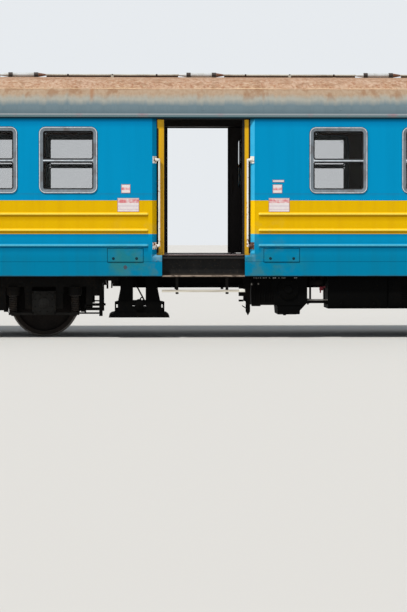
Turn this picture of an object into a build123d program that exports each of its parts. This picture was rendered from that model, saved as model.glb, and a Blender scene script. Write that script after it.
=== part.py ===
from build123d import *
import math
import os

# A passenger coach of a suburban electric train, in millimetres.
# X runs along the coach, Y across it, Z up. Heights are written above the rail head,
# and each piece is lifted by the flange height when it is saved, so that the flanges stand on Z = 0.

# Wheels and axles
FLANGE_HEIGHT = 28.0
TREAD_RADIUS = 470.0
WHEEL_WIDTH = 135.0
BACK_TO_BACK = 1360.0
FLANGE_THICKNESS = 32.0
RIM_DEPTH = 60.0
WEB_THICKNESS = 28.0
HUB_RADIUS = 130.0
AXLE_RADIUS = 88.0
JOURNAL_RADIUS = 65.0
JOURNAL_SPACING = 2000.0
JOURNAL_LENGTH = 140.0
FIT_CLEARANCE = 0.05

# Bogies
PIVOT_SPACING = 14960.0
WHEELBASE = 2600.0
BOGIE_LENGTH = 4340.0
BOGIE_BEAM_WIDTH = 120.0
BOGIE_BEAM_BOTTOM = 700.0
BOGIE_BEAM_DEPTH = 160.0
BOGIE_TOP = 900.0
BOGIE_CROSS_BEAM_WIDTH = 120.0
BOGIE_CROSS_BEAM_DROP = 120.0
BOGIE_END_BEAM_BOTTOM = 660.0
BOLSTER_LENGTH = 440.0
AXLEBOX_SIZE = 340.0
AXLEBOX_WIDTH = 160.0
AXLEBOX_COVER_RADIUS = 158.0
AXLEBOX_COVER_PROUD = 30.0
SPRING_OFFSET = 445.0
SPRING_RADIUS = 60.0
SPRING_WIRE = 18.0
SPRING_TURNS = 9
WING_BOTTOM = 296.0
WING_THICKNESS = 32.0
HORN_WIDTH = 100.0
SPRING_CAP = 120.0
SPRING_CAP_RADIUS = 98.0
BEARING_GAP = 0.3
PIVOT_PIN_RADIUS = 70.0
PIVOT_PIN_LENGTH = 110.0
BRAKE_GAP = 7.0
BRAKE_SHOE_DEPTH = 48.0
BRAKE_SHOE_HEIGHT = 320.0
BRAKE_HANGER_WIDTH = 65.0
LIFEGUARD_WIDTH = 50.0
LIFEGUARD_INSET = 78.0
LIFEGUARD_BOTTOM = 280.0

# Body shell
BODY_LENGTH = 21170.0
BODY_WIDTH = 2850.0
END_WALL = 60.0
SKIRT_BOTTOM = 860.0
SKIRT_THICKNESS = 50.0
FLOOR_TOP = 1157.0
FLOOR_THICKNESS = 50.0
WALL_TOP = 3100.0
OUTER_SKIN = 55.0
INNER_SKIN = 30.0
RIB_HEIGHTS = (1297.0, 1513.0, 1742.0)
RIB_WIDTH = 52.0
RIB_DEPTH = 15.0
RIB_STOP_FROM_DOOR = 785.0
RIB_STOP_FROM_END = 120.0

# Roof
ROOF_CROWN = 3765.0
ROOF_SHOULDER = 3150.0
ROOF_CROWN_RADIUS = 4000.0
ROOF_THICKNESS = 50.0
GUTTER_BOTTOM = 3116.0
GUTTER_HEIGHT = 26.0
GUTTER_DEPTH = 12.0
ROOF_SEAM = 3515.0
CEILING_BOTTOM = 3300.0
CEILING_THICKNESS = 25.0

# Doorways
DOOR_SPACING = 7800.0
DOOR_WIDTH = 1334.0
RECESS_WIDTH = 1458.0
RECESS_FOOT = 1130.0
RECESS_SILL = 1185.0
STEP_WIDTH = 1180.0
LEAF_THICKNESS = 42.0
LEAF_CLEARANCE = 6.5
LEAF_OVERLAP = 45.0
LEAF_FOOT_GAP = 8.0
LEAF_HEAD_GAP = 10.0
LEAF_MEETING_GAP = 6.0
SHOE_GAP = 0.3
SHOE_LENGTH = 60.0
POCKET_END_CLEARANCE = 20.0
LEAF_WINDOW_WIDTH = 400.0
LEAF_WINDOW_BOTTOM = 2150.0
LEAF_WINDOW_TOP = 2940.0
LEAF_WINDOW_EDGE = 156.0
LEAF_OPEN_EDGE = 620.0
NEAR_REST_EDGE = 556.0
FAR_REST_EDGE = 466.0

# Steps
TREAD_TOP = 870.0
TREAD_THICKNESS = 22.0
TREAD_DEPTH = 125.0
RISER_THICKNESS = 12.0
FOOTBOARD_TOP = 660.0
FOOTBOARD_THICKNESS = 28.0
FOOTBOARD_DEPTH = 220.0
FOOTBOARD_HANGERS = (-376.0, 337.0)
HANGER_WIDTH = 40.0
HANGER_THICKNESS = 14.0

# Windows
WINDOW_WIDTH = 820.0
WINDOW_BOTTOM = 2038.0
WINDOW_TOP = 2974.0
WINDOW_CORNER = 90.0
FRAME_WIDTH = 54.0
FRAME_DEPTH = 58.0
FRAME_PROUD = 6.0
TRANSOM_HEIGHT = 2499.0
TRANSOM_WIDTH = 28.0
GLASS_THICKNESS = 6.0
GLASS_DEPTH = 20.0
FIRST_WINDOW_FROM_DOOR = 1920.0
END_WINDOW_PITCH = 1132.0
MIDDLE_WINDOW_PITCH = 1323.0
END_WINDOWS = 4

# Saloon
AISLE_WIDTH = 600.0
SEAT_GAP_TO_WALL = 4.0
SEAT_BAY_LENGTH = 1550.0
SEAT_HEIGHT = 440.0
SEAT_BACK_HEIGHT = 900.0
SEAT_DEPTH = 430.0
SEAT_BACK_THICKNESS = 90.0
SEAT_CUSHION_THICKNESS = 110.0
SEAT_PEDESTAL_WIDTH = 160.0
SCREEN_FROM_DOOR = 1000.0
SCREEN_THICKNESS = 30.0
SCREEN_GAP_WIDTH = 760.0
GEAR_COVER_DEPTH = 105.0
GEAR_COVER_GAP = 30.0
RACK_DROP = 90.0
RACK_DEPTH = 300.0
RACK_THICKNESS = 20.0
RACK_LIP = 45.0
POLE_RADIUS = 17.0
POLE_FROM_DOOR = 720.0
POLE_OFFSET = 420.0

# End doors, gangways, buffers and couplers
END_DOOR_WIDTH = 800.0
END_DOOR_HEIGHT = 1900.0
END_DOOR_THICKNESS = 36.0
END_DOOR_GAP = 8.0
END_WINDOW_WIDTH = 420.0
END_WINDOW_HEIGHT = 700.0
END_WINDOW_FOOT = 950.0
HINGE_PIN_RADIUS = 8.0
HINGE_KNUCKLE_RADIUS = 15.0
HINGE_KNUCKLE_LENGTH = 120.0
HINGE_LUG_LENGTH = 30.0
HINGE_HEIGHTS = (400.0, 1500.0)
HINGE_STAND_OFF = 20.0
GANGWAY_PROJECTION = 200.0
GANGWAY_WIDTH = 1180.0
GANGWAY_HEIGHT = 2150.0
GANGWAY_OPENING_WIDTH = 960.0
GANGWAY_FOLDS = 4
GANGWAY_FOLD_DEPTH = 40.0
BUFFER_SPACING = 1750.0
BUFFER_HEIGHT = 1060.0
BUFFER_HEAD_RADIUS = 185.0
BUFFER_CASE_RADIUS = 105.0
BUFFER_HEAD_THICKNESS = 26.0
COUPLER_HEIGHT = 1010.0
COUPLER_SHANK = 90.0
COUPLER_PROJECTION = 170.0
COUPLER_PIN_RADIUS = 26.0
COUPLER_HEAD_THICKNESS = 60.0
COUPLER_HEAD_RADIUS = 70.0

# Underframe and what hangs from it
SOLE_BAR_INSET = 195.0
SOLE_BAR_WIDTH = 80.0
SOLE_BAR_DEPTH = 200.0
CROSS_MEMBER_DEPTH = 100.0
CROSS_MEMBER_WIDTH = 90.0
CROSS_MEMBERS = 19
CRADLE_LEFT = -1350.0
CRADLE_RIGHT = -480.0
CRADLE_BASE = 265.0
CRADLE_BASE_TOP = 335.0
CRADLE_BODY_TOP = 497.0
CRADLE_POST = 18.0
CRADLE_SLOT = 24.0
CRADLE_TANK_RADIUS = 70.0
CRADLE_TANK_HEIGHT = 440.0
CRADLE_BRACE = 24.0
CRADLE_LEGS = ((-1184.0, -1003.0), (-822.0, -648.0))
EQUIPMENT_INSET = 125.0
EQUIPMENT_DEPTH = 740.0
BLOCK_LEFT = 690.0
BLOCK_RIGHT = 1487.0
BLOCK_BOTTOM = 443.0
BLOCK_CORNER = 476.0
SUMP_LEFT = 1054.0
SUMP_RIGHT = 1331.0
SUMP_TAPER = 14.0
SUMP_BOTTOM = 308.0
STRUT_LEFT = 578.0
STRUT_RIGHT = 675.0
STRUT_BOTTOM = 291.0
STRUT_INSET = 230.0
STRUT_THICKNESS = 70.0
STRUT_STEP = 35.0
STRUT_STEP_TOP = 505.0
STRUT_TIP = 57.0
# reach to the left of the strut, foot and head of each prong
STRUT_PRONGS = ((67.0, 568.0, 632.0), (67.0, 504.0, 518.0))
CASE_LEFT = 1786.0
CASE_RIGHT = 5214.0
CASE_BOTTOM = 391.0
CASE_DOORS = 4
CASE_SEAM = 14.0
RESERVOIR_RADIUS = 190.0
RESERVOIR_LENGTH = 1400.0
RESERVOIR_HEIGHT = 640.0
RESERVOIR_PLACES = (-950.0, 700.0, 2350.0)
BATTERY_GAP = 260.0
BATTERY_LENGTH = 1400.0
BATTERY_BOTTOM = 420.0
PIPE_RADIUS = 25.0
PIPE_HEIGHT = 490.0
DUCT_OUTER = 540.0
DUCT_INNER = 400.0
DUCT_BOTTOM = 735.0
DUCT_TOP = 868.0
BRAKE_ROD_RADIUS = 18.0
BRAKE_ROD_HEIGHT = 688.0
BRAKE_ROD_OFFSET = 330.0
ROD_HANGERS = (-3600.0, -1800.0, 0.0, 1800.0, 3600.0)

# Handrails, flaps and roof fittings
RAIL_RADIUS = 14.0
RAIL_FROM_DOOR = 629.0
RAIL_BOTTOM = 1291.0
RAIL_TOP = 2512.0
RAIL_DEPTH = 22.0
RAIL_FOOT_WIDTH = 66.0
RAIL_FOOT_HEIGHT = 100.0
RAIL_FOOT_THICKNESS = 12.0
FLAP_INNER_EDGE = 862.0
FLAP_WIDTH = 500.0
FLAP_BOTTOM = 1061.0
FLAP_TOP = 1251.0
FLAP_THICKNESS = 8.0
VENT_PITCH = 2600.0
VENTS = 8
VENT_OFFSET = 330.0
VENT_RADIUS = 32.0
VENT_LENGTH = 310.0
VENT_CLAMP = 62.0
VENT_CLAMP_PROUD = 5.0
VENT_CONE = 110.0
CONDUIT_RADIUS = 13.0
CONDUIT_CLIP = 40.0

# Values that follow from those above
HALF_WIDTH = BODY_WIDTH / 2
HALF_LENGTH = BODY_LENGTH / 2
SHELL_END = HALF_LENGTH - END_WALL
DOOR_X = DOOR_SPACING / 2
PIVOT_X = PIVOT_SPACING / 2
FLOOR_BOTTOM = FLOOR_TOP - FLOOR_THICKNESS
POCKET_GAP = LEAF_THICKNESS + 2 * LEAF_CLEARANCE
WALL_THICKNESS = OUTER_SKIN + POCKET_GAP + INNER_SKIN
INNER_FACE = HALF_WIDTH - WALL_THICKNESS
LEAF_OUTER_FACE = HALF_WIDTH - OUTER_SKIN - LEAF_CLEARANCE
LEAF_WIDTH = DOOR_WIDTH / 2 + LEAF_OVERLAP
POCKET_END = LEAF_OPEN_EDGE + LEAF_WIDTH + POCKET_END_CLEARANCE
JOURNAL_Y = JOURNAL_SPACING / 2
WHEEL_INNER_Y = BACK_TO_BACK / 2
SOLE_BAR_OUTER = HALF_WIDTH - SOLE_BAR_INSET
SOLE_BAR_INNER = SOLE_BAR_OUTER - SOLE_BAR_WIDTH
SOLE_BAR_BOTTOM = FLOOR_BOTTOM - SOLE_BAR_DEPTH
EQUIPMENT_OUTER = HALF_WIDTH - EQUIPMENT_INSET
EQUIPMENT_INNER = EQUIPMENT_OUTER - EQUIPMENT_DEPTH
RACK_HEIGHT = WALL_TOP - RACK_DROP
SIDES = (-1, 1)


def block(x0, x1, y0, y1, z0, z1):
    """A box between two corners."""
    middle = Pos((x0 + x1) / 2, (y0 + y1) / 2, (z0 + z1) / 2)
    return middle * Box(abs(x1 - x0), abs(y1 - y0), abs(z1 - z0))


def along_x(face, x0, x1):
    """A section drawn in Y and Z, drawn out from x0 to x1."""
    return Pos(x0, 0, 0) * extrude(Plane.YZ * face, amount=x1 - x0)


def along_y(face, y0, y1):
    """A side view drawn in X and Z, drawn out from y0 to y1."""
    return Pos(0, y1, 0) * extrude(Plane.XZ * face, amount=y1 - y0)


def polygon(points):
    return make_face(Polyline(points, close=True))


def rod_y(radius, x, z, y0, y1):
    return Pos(x, (y0 + y1) / 2, z) * Rot(90, 0, 0) * Cylinder(radius, abs(y1 - y0))


def rod_x(radius, y, z, x0, x1):
    return Pos((x0 + x1) / 2, y, z) * Rot(0, 90, 0) * Cylinder(radius, abs(x1 - x0))


def rod_z(radius, x, y, z0, z1):
    return Pos(x, y, (z0 + z1) / 2) * Cylinder(radius, abs(z1 - z0))


def joined(pieces):
    """One solid from pieces that meet."""
    whole = pieces[0]
    for piece in pieces[1:]:
        whole = whole + piece
    return whole


def on_far_side(shape):
    """A near-side piece turned half round the vertical axis, so that it stands on the far side."""
    return Rot(0, 0, 180) * shape


def save(name, pieces):
    """Write the solids of one piece, lifted so that the flanges stand on Z = 0."""
    solids = []
    for piece in pieces:
        solids.extend(piece.solids())
    lifted = [solid.moved(Location((0, 0, FLANGE_HEIGHT))) for solid in solids]
    export_step(lifted[0] if len(lifted) == 1 else Compound(children=lifted), f"parts/{name}.step")


# Roof section: a wide crown arc and two tighter shoulder arcs, tangent to each other

def roof_outline(inset, foot):
    """The filled roof section, moved in by inset, down to the height foot."""
    rise = ROOF_CROWN - ROOF_SHOULDER
    big = ROOF_CROWN_RADIUS
    small = (big**2 - HALF_WIDTH**2 - (big - rise) ** 2) / (2 * (big - HALF_WIDTH))
    shoulder_y = HALF_WIDTH - small
    crown_centre = ROOF_CROWN - big
    lean = math.atan2(shoulder_y, ROOF_SHOULDER - crown_centre)
    half = (math.pi / 2 - lean) / 2

    def on_crown(angle):
        return ((big - inset) * math.sin(angle), crown_centre + (big - inset) * math.cos(angle))

    def on_shoulder(angle, side):
        y = shoulder_y + (small - inset) * math.sin(angle)
        return (side * y, ROOF_SHOULDER + (small - inset) * math.cos(angle))

    side_y = HALF_WIDTH - inset
    lines = Polyline((-side_y, ROOF_SHOULDER), (-side_y, foot), (side_y, foot), (side_y, ROOF_SHOULDER))
    right = ThreePointArc((side_y, ROOF_SHOULDER), on_shoulder(lean + half, 1), on_crown(lean))
    crown = ThreePointArc(on_crown(lean), on_crown(0), on_crown(-lean))
    left = ThreePointArc(on_crown(-lean), on_shoulder(lean + half, -1), (-side_y, ROOF_SHOULDER))
    return make_face([*lines.edges(), right, crown, left])


def roof_height(y):
    """Height of the roof's outer face near its crown."""
    return ROOF_CROWN - ROOF_CROWN_RADIUS + math.sqrt(ROOF_CROWN_RADIUS**2 - y**2)


def roof_sheets():
    """The crown sheet and the two side sheets, parted at the lap seams, with a gutter strip on each side."""
    outer = along_x(roof_outline(0, WALL_TOP), -SHELL_END, SHELL_END)
    inner = along_x(roof_outline(ROOF_THICKNESS, WALL_TOP - 1), -SHELL_END - 1, SHELL_END + 1)
    shell = outer - inner
    reach = HALF_WIDTH + 1
    crown = shell & block(-SHELL_END, SHELL_END, -reach, reach, ROOF_SEAM, ROOF_CROWN + 1)
    sides = []
    for side in SIDES:
        face = side * HALF_WIDTH
        edge = side * (HALF_WIDTH + GUTTER_DEPTH)
        sheet = shell & block(-SHELL_END, SHELL_END, 0, side * reach, WALL_TOP - 1, ROOF_SEAM)
        gutter = block(-SHELL_END, SHELL_END, face - side, edge, GUTTER_BOTTOM, GUTTER_BOTTOM + GUTTER_HEIGHT)
        sides.append(sheet + gutter)
    return crown, sides


def space_under_roof():
    return along_x(roof_outline(ROOF_THICKNESS, WALL_TOP), -SHELL_END, SHELL_END)


def make_ceiling():
    """A flat ceiling panel between the two side sheets of the roof."""
    top = CEILING_BOTTOM + CEILING_THICKNESS
    panel = block(-SHELL_END, SHELL_END, -HALF_WIDTH, HALF_WIDTH, CEILING_BOTTOM, top)
    return space_under_roof() & panel


def make_gear_cover():
    """The long cover over the door gear, on top of the near-side wall pocket, round X = 0."""
    inner = INNER_FACE - GEAR_COVER_DEPTH
    head = CEILING_BOTTOM - GEAR_COVER_GAP
    cover = block(-POCKET_END, POCKET_END, -HALF_WIDTH, -inner, WALL_TOP, head)
    return space_under_roof() & cover


# Side walls

def window_centres(section):
    """Window centres of a wall section: the two ends have one pitch and the middle another."""
    if section == "middle":
        half_span = DOOR_X - FIRST_WINDOW_FROM_DOOR
        count = round(2 * half_span / MIDDLE_WINDOW_PITCH) + 1
        return [-half_span + 2 * half_span * i / (count - 1) for i in range(count)]
    side = 1 if section == "right" else -1
    first = DOOR_X + FIRST_WINDOW_FROM_DOOR
    return [side * (first + END_WINDOW_PITCH * i) for i in range(END_WINDOWS)]


def window_face(width, bottom, top, corner):
    middle = (bottom + top) / 2
    return Pos(0, middle) * RectangleRounded(width, top - bottom, corner)


def rib(x0, x1, z):
    """A pressed bead with rounded ends that stands out of the near wall."""
    radius = ((RIB_WIDTH / 2) ** 2 + RIB_DEPTH**2) / (2 * RIB_DEPTH)
    centre_y = -(HALF_WIDTH + RIB_DEPTH - radius)
    reach = math.sqrt(radius**2 - (radius - RIB_DEPTH) ** 2)
    bead = rod_x(radius, centre_y, z, x0 + reach, x1 - reach)
    bead += Pos(x0 + reach, centre_y, z) * Sphere(radius)
    bead += Pos(x1 - reach, centre_y, z) * Sphere(radius)
    wall = block(x0 - radius, x1 + radius, -HALF_WIDTH, 0, z - 2 * radius, z + 2 * radius)
    return bead - wall


def doorway_cut():
    """What a doorway takes out of the near wall, round X = 0."""
    inner = DOOR_WIDTH / 2
    outer = RECESS_WIDTH / 2
    face = -HALF_WIDTH
    back = -(HALF_WIDTH - OUTER_SKIN)
    top = WALL_TOP + 1
    mouth = Plane.XZ.offset(-face) * Pos(0, (RECESS_FOOT + top) / 2) * Rectangle(2 * outer, top - RECESS_FOOT)
    throat = Plane.XZ.offset(-back) * Pos(0, (RECESS_SILL + top) / 2) * Rectangle(2 * inner, top - RECESS_SILL)
    cut = loft([mouth, throat])
    cut += block(-inner, inner, face - 1, -INNER_FACE + 1, FLOOR_TOP, top)
    step = STEP_WIDTH / 2
    cut += block(-step, step, face - 1, -INNER_FACE + 1, SKIRT_BOTTOM - 1, FLOOR_TOP)
    return cut


def wall_section(section):
    """One stretch of the near side wall, between doorways or from a doorway to the end."""
    step = STEP_WIDTH / 2
    stretches = {
        "left": (-SHELL_END, -DOOR_X - step),
        "middle": (-DOOR_X + step, DOOR_X - step),
        "right": (DOOR_X + step, SHELL_END),
    }
    x0, x1 = stretches[section]
    skirt_y = -(HALF_WIDTH - SKIRT_THICKNESS)
    profile = polygon([
        (-HALF_WIDTH, SKIRT_BOTTOM),
        (skirt_y, SKIRT_BOTTOM),
        (skirt_y, FLOOR_BOTTOM),
        (-INNER_FACE, FLOOR_BOTTOM),
        (-INNER_FACE, WALL_TOP),
        (-HALF_WIDTH, WALL_TOP),
    ])
    wall = along_x(profile, x0, x1)
    for door_x in (-DOOR_X, DOOR_X):
        wall -= Pos(door_x, 0, 0) * doorway_cut()
        outer = -(HALF_WIDTH - OUTER_SKIN)
        inner = -(INNER_FACE + INNER_SKIN)
        wall -= block(door_x - POCKET_END, door_x + POCKET_END, outer, inner, FLOOR_TOP, WALL_TOP + 1)
    for x in window_centres(section):
        hole = window_face(WINDOW_WIDTH, WINDOW_BOTTOM, WINDOW_TOP, WINDOW_CORNER)
        wall -= Pos(x, 0, 0) * along_y(hole, -HALF_WIDTH - 1, -INNER_FACE + 1)
    stop = RIB_STOP_FROM_DOOR - step
    rib_x0 = x0 + (RIB_STOP_FROM_END if section == "left" else stop)
    rib_x1 = x1 - (RIB_STOP_FROM_END if section == "right" else stop)
    for z in RIB_HEIGHTS:
        wall += rib(rib_x0, rib_x1, z)
    return wall


def window_frame(x):
    """A metal window frame with its transom, on the near side."""
    outer = window_face(WINDOW_WIDTH, WINDOW_BOTTOM, WINDOW_TOP, WINDOW_CORNER)
    opening = window_face(
        WINDOW_WIDTH - 2 * FRAME_WIDTH,
        WINDOW_BOTTOM + FRAME_WIDTH,
        WINDOW_TOP - FRAME_WIDTH,
        WINDOW_CORNER - FRAME_WIDTH,
    )
    half_bar = TRANSOM_WIDTH / 2
    bar = Pos(0, TRANSOM_HEIGHT) * Rectangle(WINDOW_WIDTH - FRAME_WIDTH, 2 * half_bar)
    front = -(HALF_WIDTH + FRAME_PROUD)
    ring = along_y(outer - opening + bar, front, front + FRAME_DEPTH)
    return Pos(x, 0, 0) * ring


def window_panes(x):
    """The fixed lower pane and the upper vent pane of a window."""
    opening = window_face(
        WINDOW_WIDTH - 2 * FRAME_WIDTH,
        WINDOW_BOTTOM + FRAME_WIDTH,
        WINDOW_TOP - FRAME_WIDTH,
        WINDOW_CORNER - FRAME_WIDTH,
    )
    bar = Pos(0, TRANSOM_HEIGHT) * Rectangle(WINDOW_WIDTH, TRANSOM_WIDTH)
    front = -(HALF_WIDTH - GLASS_DEPTH)
    return Pos(x, 0, 0) * along_y(opening - bar, front, front + GLASS_THICKNESS)


# Ends

def make_end_wall():
    """The flat end wall on the right, with its doorway and the fixed halves of the door hinges."""
    section = roof_outline(0, SKIRT_BOTTOM)
    opening = Pos(0, FLOOR_TOP + END_DOOR_HEIGHT / 2) * Rectangle(END_DOOR_WIDTH, END_DOOR_HEIGHT)
    wall = along_x(section - opening, SHELL_END, HALF_LENGTH)
    hinge_x = SHELL_END - HINGE_STAND_OFF
    hinge_y = -END_DOOR_WIDTH / 2
    for height in HINGE_HEIGHTS:
        foot = FLOOR_TOP + height - HINGE_KNUCKLE_LENGTH / 2
        head = foot + HINGE_KNUCKLE_LENGTH
        gap = END_DOOR_GAP
        wall += rod_z(HINGE_PIN_RADIUS, hinge_x, hinge_y, foot - gap - HINGE_LUG_LENGTH, head + gap + HINGE_LUG_LENGTH)
        for z0 in (foot - gap - HINGE_LUG_LENGTH, head + gap):
            z1 = z0 + HINGE_LUG_LENGTH
            wall += rod_z(HINGE_KNUCKLE_RADIUS, hinge_x, hinge_y, z0, z1)
            lug_y = hinge_y - HINGE_KNUCKLE_RADIUS
            wall += block(hinge_x, SHELL_END, lug_y - HINGE_KNUCKLE_RADIUS, hinge_y, z0, z1)
    return wall


def make_end_door():
    """The hinged end door on the right, which fills its doorway and swings into the saloon."""
    half = END_DOOR_WIDTH / 2 - END_DOOR_GAP
    foot = FLOOR_TOP + END_DOOR_GAP
    head = FLOOR_TOP + END_DOOR_HEIGHT - END_DOOR_GAP
    sheet = Pos(0, (foot + head) / 2) * Rectangle(2 * half, head - foot)
    sill = FLOOR_TOP + END_WINDOW_FOOT
    window = window_face(END_WINDOW_WIDTH, sill, sill + END_WINDOW_HEIGHT, WINDOW_CORNER)
    door = along_x(sheet - window, SHELL_END, SHELL_END + END_DOOR_THICKNESS)
    hinge_x = SHELL_END - HINGE_STAND_OFF
    hinge_y = -END_DOOR_WIDTH / 2
    bore = HINGE_PIN_RADIUS + FIT_CLEARANCE
    for height in HINGE_HEIGHTS:
        z0 = FLOOR_TOP + height - HINGE_KNUCKLE_LENGTH / 2
        z1 = z0 + HINGE_KNUCKLE_LENGTH
        strap_x = hinge_x + HINGE_KNUCKLE_RADIUS
        strap = block(hinge_x, strap_x, hinge_y, -half + HINGE_KNUCKLE_LENGTH, z0, z1)
        pad = block(hinge_x, SHELL_END, -half, -half + HINGE_KNUCKLE_LENGTH, z0, z1)
        knuckle = rod_z(HINGE_KNUCKLE_RADIUS, hinge_x, hinge_y, z0, z1)
        door += strap + pad + knuckle
        door -= rod_z(bore, hinge_x, hinge_y, z0 - 1, z1 + 1)
    return door


def make_gangway():
    """The folded gangway tunnel on the right end, round the end doorway."""
    foot = FLOOR_TOP - FLOOR_THICKNESS
    head = foot + GANGWAY_HEIGHT
    middle = (foot + head) / 2
    wall = (GANGWAY_WIDTH - GANGWAY_OPENING_WIDTH) / 2
    opening = Pos(0, (FLOOR_TOP + head - wall) / 2) * Rectangle(GANGWAY_OPENING_WIDTH, head - wall - FLOOR_TOP)
    outer = Pos(0, middle) * Rectangle(GANGWAY_WIDTH, GANGWAY_HEIGHT)
    low = 2 * GANGWAY_FOLD_DEPTH
    inner = Pos(0, middle) * Rectangle(GANGWAY_WIDTH - low, GANGWAY_HEIGHT - low)
    tunnel = along_x(inner - opening, HALF_LENGTH, HALF_LENGTH + GANGWAY_PROJECTION)
    pitch = GANGWAY_PROJECTION / GANGWAY_FOLDS
    for fold in range(GANGWAY_FOLDS):
        x1 = HALF_LENGTH + pitch * (fold + 1)
        tunnel += along_x(outer - opening, x1 - pitch / 2, x1)
    return tunnel


def make_buffer(side):
    """A buffer on the right end: a base plate, a case and a round head."""
    y = side * BUFFER_SPACING / 2
    x1 = HALF_LENGTH + GANGWAY_PROJECTION
    head_x = x1 - BUFFER_HEAD_THICKNESS
    plate = BUFFER_HEAD_THICKNESS
    half = BUFFER_CASE_RADIUS * 1.35
    base = block(HALF_LENGTH, HALF_LENGTH + plate, y - half, y + half, BUFFER_HEIGHT - half, BUFFER_HEIGHT + half)
    case = rod_x(BUFFER_CASE_RADIUS, y, BUFFER_HEIGHT, HALF_LENGTH, HALF_LENGTH + GANGWAY_PROJECTION / 2)
    plunger = rod_x(BUFFER_CASE_RADIUS * 0.8, y, BUFFER_HEIGHT, HALF_LENGTH, head_x + 1)
    return base + case + plunger + rod_x(BUFFER_HEAD_RADIUS, y, BUFFER_HEIGHT, head_x, x1)


def make_coupler():
    """The drawbar on the right end, with an upright pin hole through its head."""
    half = COUPLER_SHANK / 2
    eye_x = HALF_LENGTH + COUPLER_PROJECTION - COUPLER_HEAD_RADIUS
    thick = COUPLER_HEAD_THICKNESS / 2
    shank = block(HALF_LENGTH, eye_x, -half, half, COUPLER_HEIGHT - thick, COUPLER_HEIGHT + thick)
    head = rod_z(COUPLER_HEAD_RADIUS, eye_x, 0, COUPLER_HEIGHT - thick, COUPLER_HEIGHT + thick)
    plate_half = COUPLER_SHANK
    plate = block(
        HALF_LENGTH,
        HALF_LENGTH + HANGER_THICKNESS,
        -plate_half,
        plate_half,
        COUPLER_HEIGHT - plate_half,
        COUPLER_HEIGHT + plate_half,
    )
    hole = rod_z(COUPLER_PIN_RADIUS, eye_x, 0, COUPLER_HEIGHT - thick - 1, COUPLER_HEIGHT + thick + 1)
    return plate + shank + head - hole


# Doors and steps

def make_leaf(edge):
    """A near-side leaf that slides to the left, with its leading edge at X = -edge from the door centre."""
    foot = FLOOR_TOP + LEAF_FOOT_GAP
    head = WALL_TOP - LEAF_HEAD_GAP
    y0 = -LEAF_OUTER_FACE
    y1 = y0 + LEAF_THICKNESS
    leaf = block(-edge - LEAF_WIDTH, -edge, y0, y1, foot, head)
    window_x = -edge - LEAF_WINDOW_EDGE - LEAF_WINDOW_WIDTH / 2
    hole = window_face(LEAF_WINDOW_WIDTH, LEAF_WINDOW_BOTTOM, LEAF_WINDOW_TOP, WINDOW_CORNER)
    leaf -= Pos(window_x, 0, 0) * along_y(hole, y0 - 1, y1 + 1)
    for x in (-edge - SHOE_LENGTH, -edge - LEAF_WIDTH + SHOE_LENGTH):
        half = SHOE_LENGTH / 2
        leaf += block(x - half, x + half, y0, y1, FLOOR_TOP + SHOE_GAP, foot + 1)
    return leaf


def make_steps():
    """The riser, the sill on it and the tread below a near-side doorway, round X = 0."""
    half = STEP_WIDTH / 2
    face = -HALF_WIDTH
    riser_y = face + TREAD_DEPTH
    riser = block(-half, half, riser_y, riser_y + RISER_THICKNESS, SKIRT_BOTTOM, FLOOR_BOTTOM)
    tread_bottom = TREAD_TOP - TREAD_THICKNESS
    tread = block(-half, half, face, riser_y + RISER_THICKNESS, tread_bottom, TREAD_TOP)
    return riser + tread


def make_sill():
    """The floor's edge in a near-side doorway, under the leaves."""
    half = STEP_WIDTH / 2
    outer = -(HALF_WIDTH - OUTER_SKIN + LEAF_CLEARANCE)
    return block(-half, half, outer, -INNER_FACE, FLOOR_BOTTOM, FLOOR_TOP)


def make_footboard():
    """The lower footboard of a near-side doorway, hung from the tread above it."""
    half = STEP_WIDTH / 2
    face = -HALF_WIDTH
    board = block(-half, half, face, face + FOOTBOARD_DEPTH, FOOTBOARD_TOP - FOOTBOARD_THICKNESS, FOOTBOARD_TOP)
    tread_bottom = TREAD_TOP - TREAD_THICKNESS
    back = face + TREAD_DEPTH
    for x in FOOTBOARD_HANGERS:
        x0 = x - HANGER_WIDTH / 2
        x1 = x + HANGER_WIDTH / 2
        board += block(x0, x1, back - HANGER_THICKNESS, back, FOOTBOARD_TOP - 2 * FOOTBOARD_THICKNESS, tread_bottom)
        board += block(x0, x1, face + FOOTBOARD_THICKNESS, back, FOOTBOARD_TOP - 2 * FOOTBOARD_THICKNESS, FOOTBOARD_TOP)
    return board


def make_handrail(side):
    """An upright rail in the mouth of a near-side doorway, on two feet on the slanting jamb."""
    inner = DOOR_WIDTH / 2
    outer = RECESS_WIDTH / 2
    slant = math.degrees(math.atan2(OUTER_SKIN, outer - inner))
    middle_x = (outer + inner) / 2
    middle_y = -(HALF_WIDTH - OUTER_SKIN / 2)
    rail_y = -(HALF_WIDTH - RAIL_DEPTH)
    rail = rod_z(RAIL_RADIUS, RAIL_FROM_DOOR, rail_y, RAIL_BOTTOM - RAIL_RADIUS, RAIL_TOP + RAIL_RADIUS)
    foot = Pos(0, -RAIL_FOOT_THICKNESS / 2, 0) * Box(RAIL_FOOT_WIDTH, RAIL_FOOT_THICKNESS, RAIL_FOOT_HEIGHT)
    for z in (RAIL_BOTTOM, RAIL_TOP):
        rail += Pos(middle_x, middle_y, z) * Rot(0, 0, -slant) * foot
        arm_end = middle_x + RAIL_FOOT_THICKNESS / 2
        rail += rod_x(RAIL_RADIUS, rail_y, z, RAIL_FROM_DOOR, arm_end) - doorway_wall_side(z)
    return rail if side > 0 else mirror(rail, about=Plane.YZ)


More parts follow.
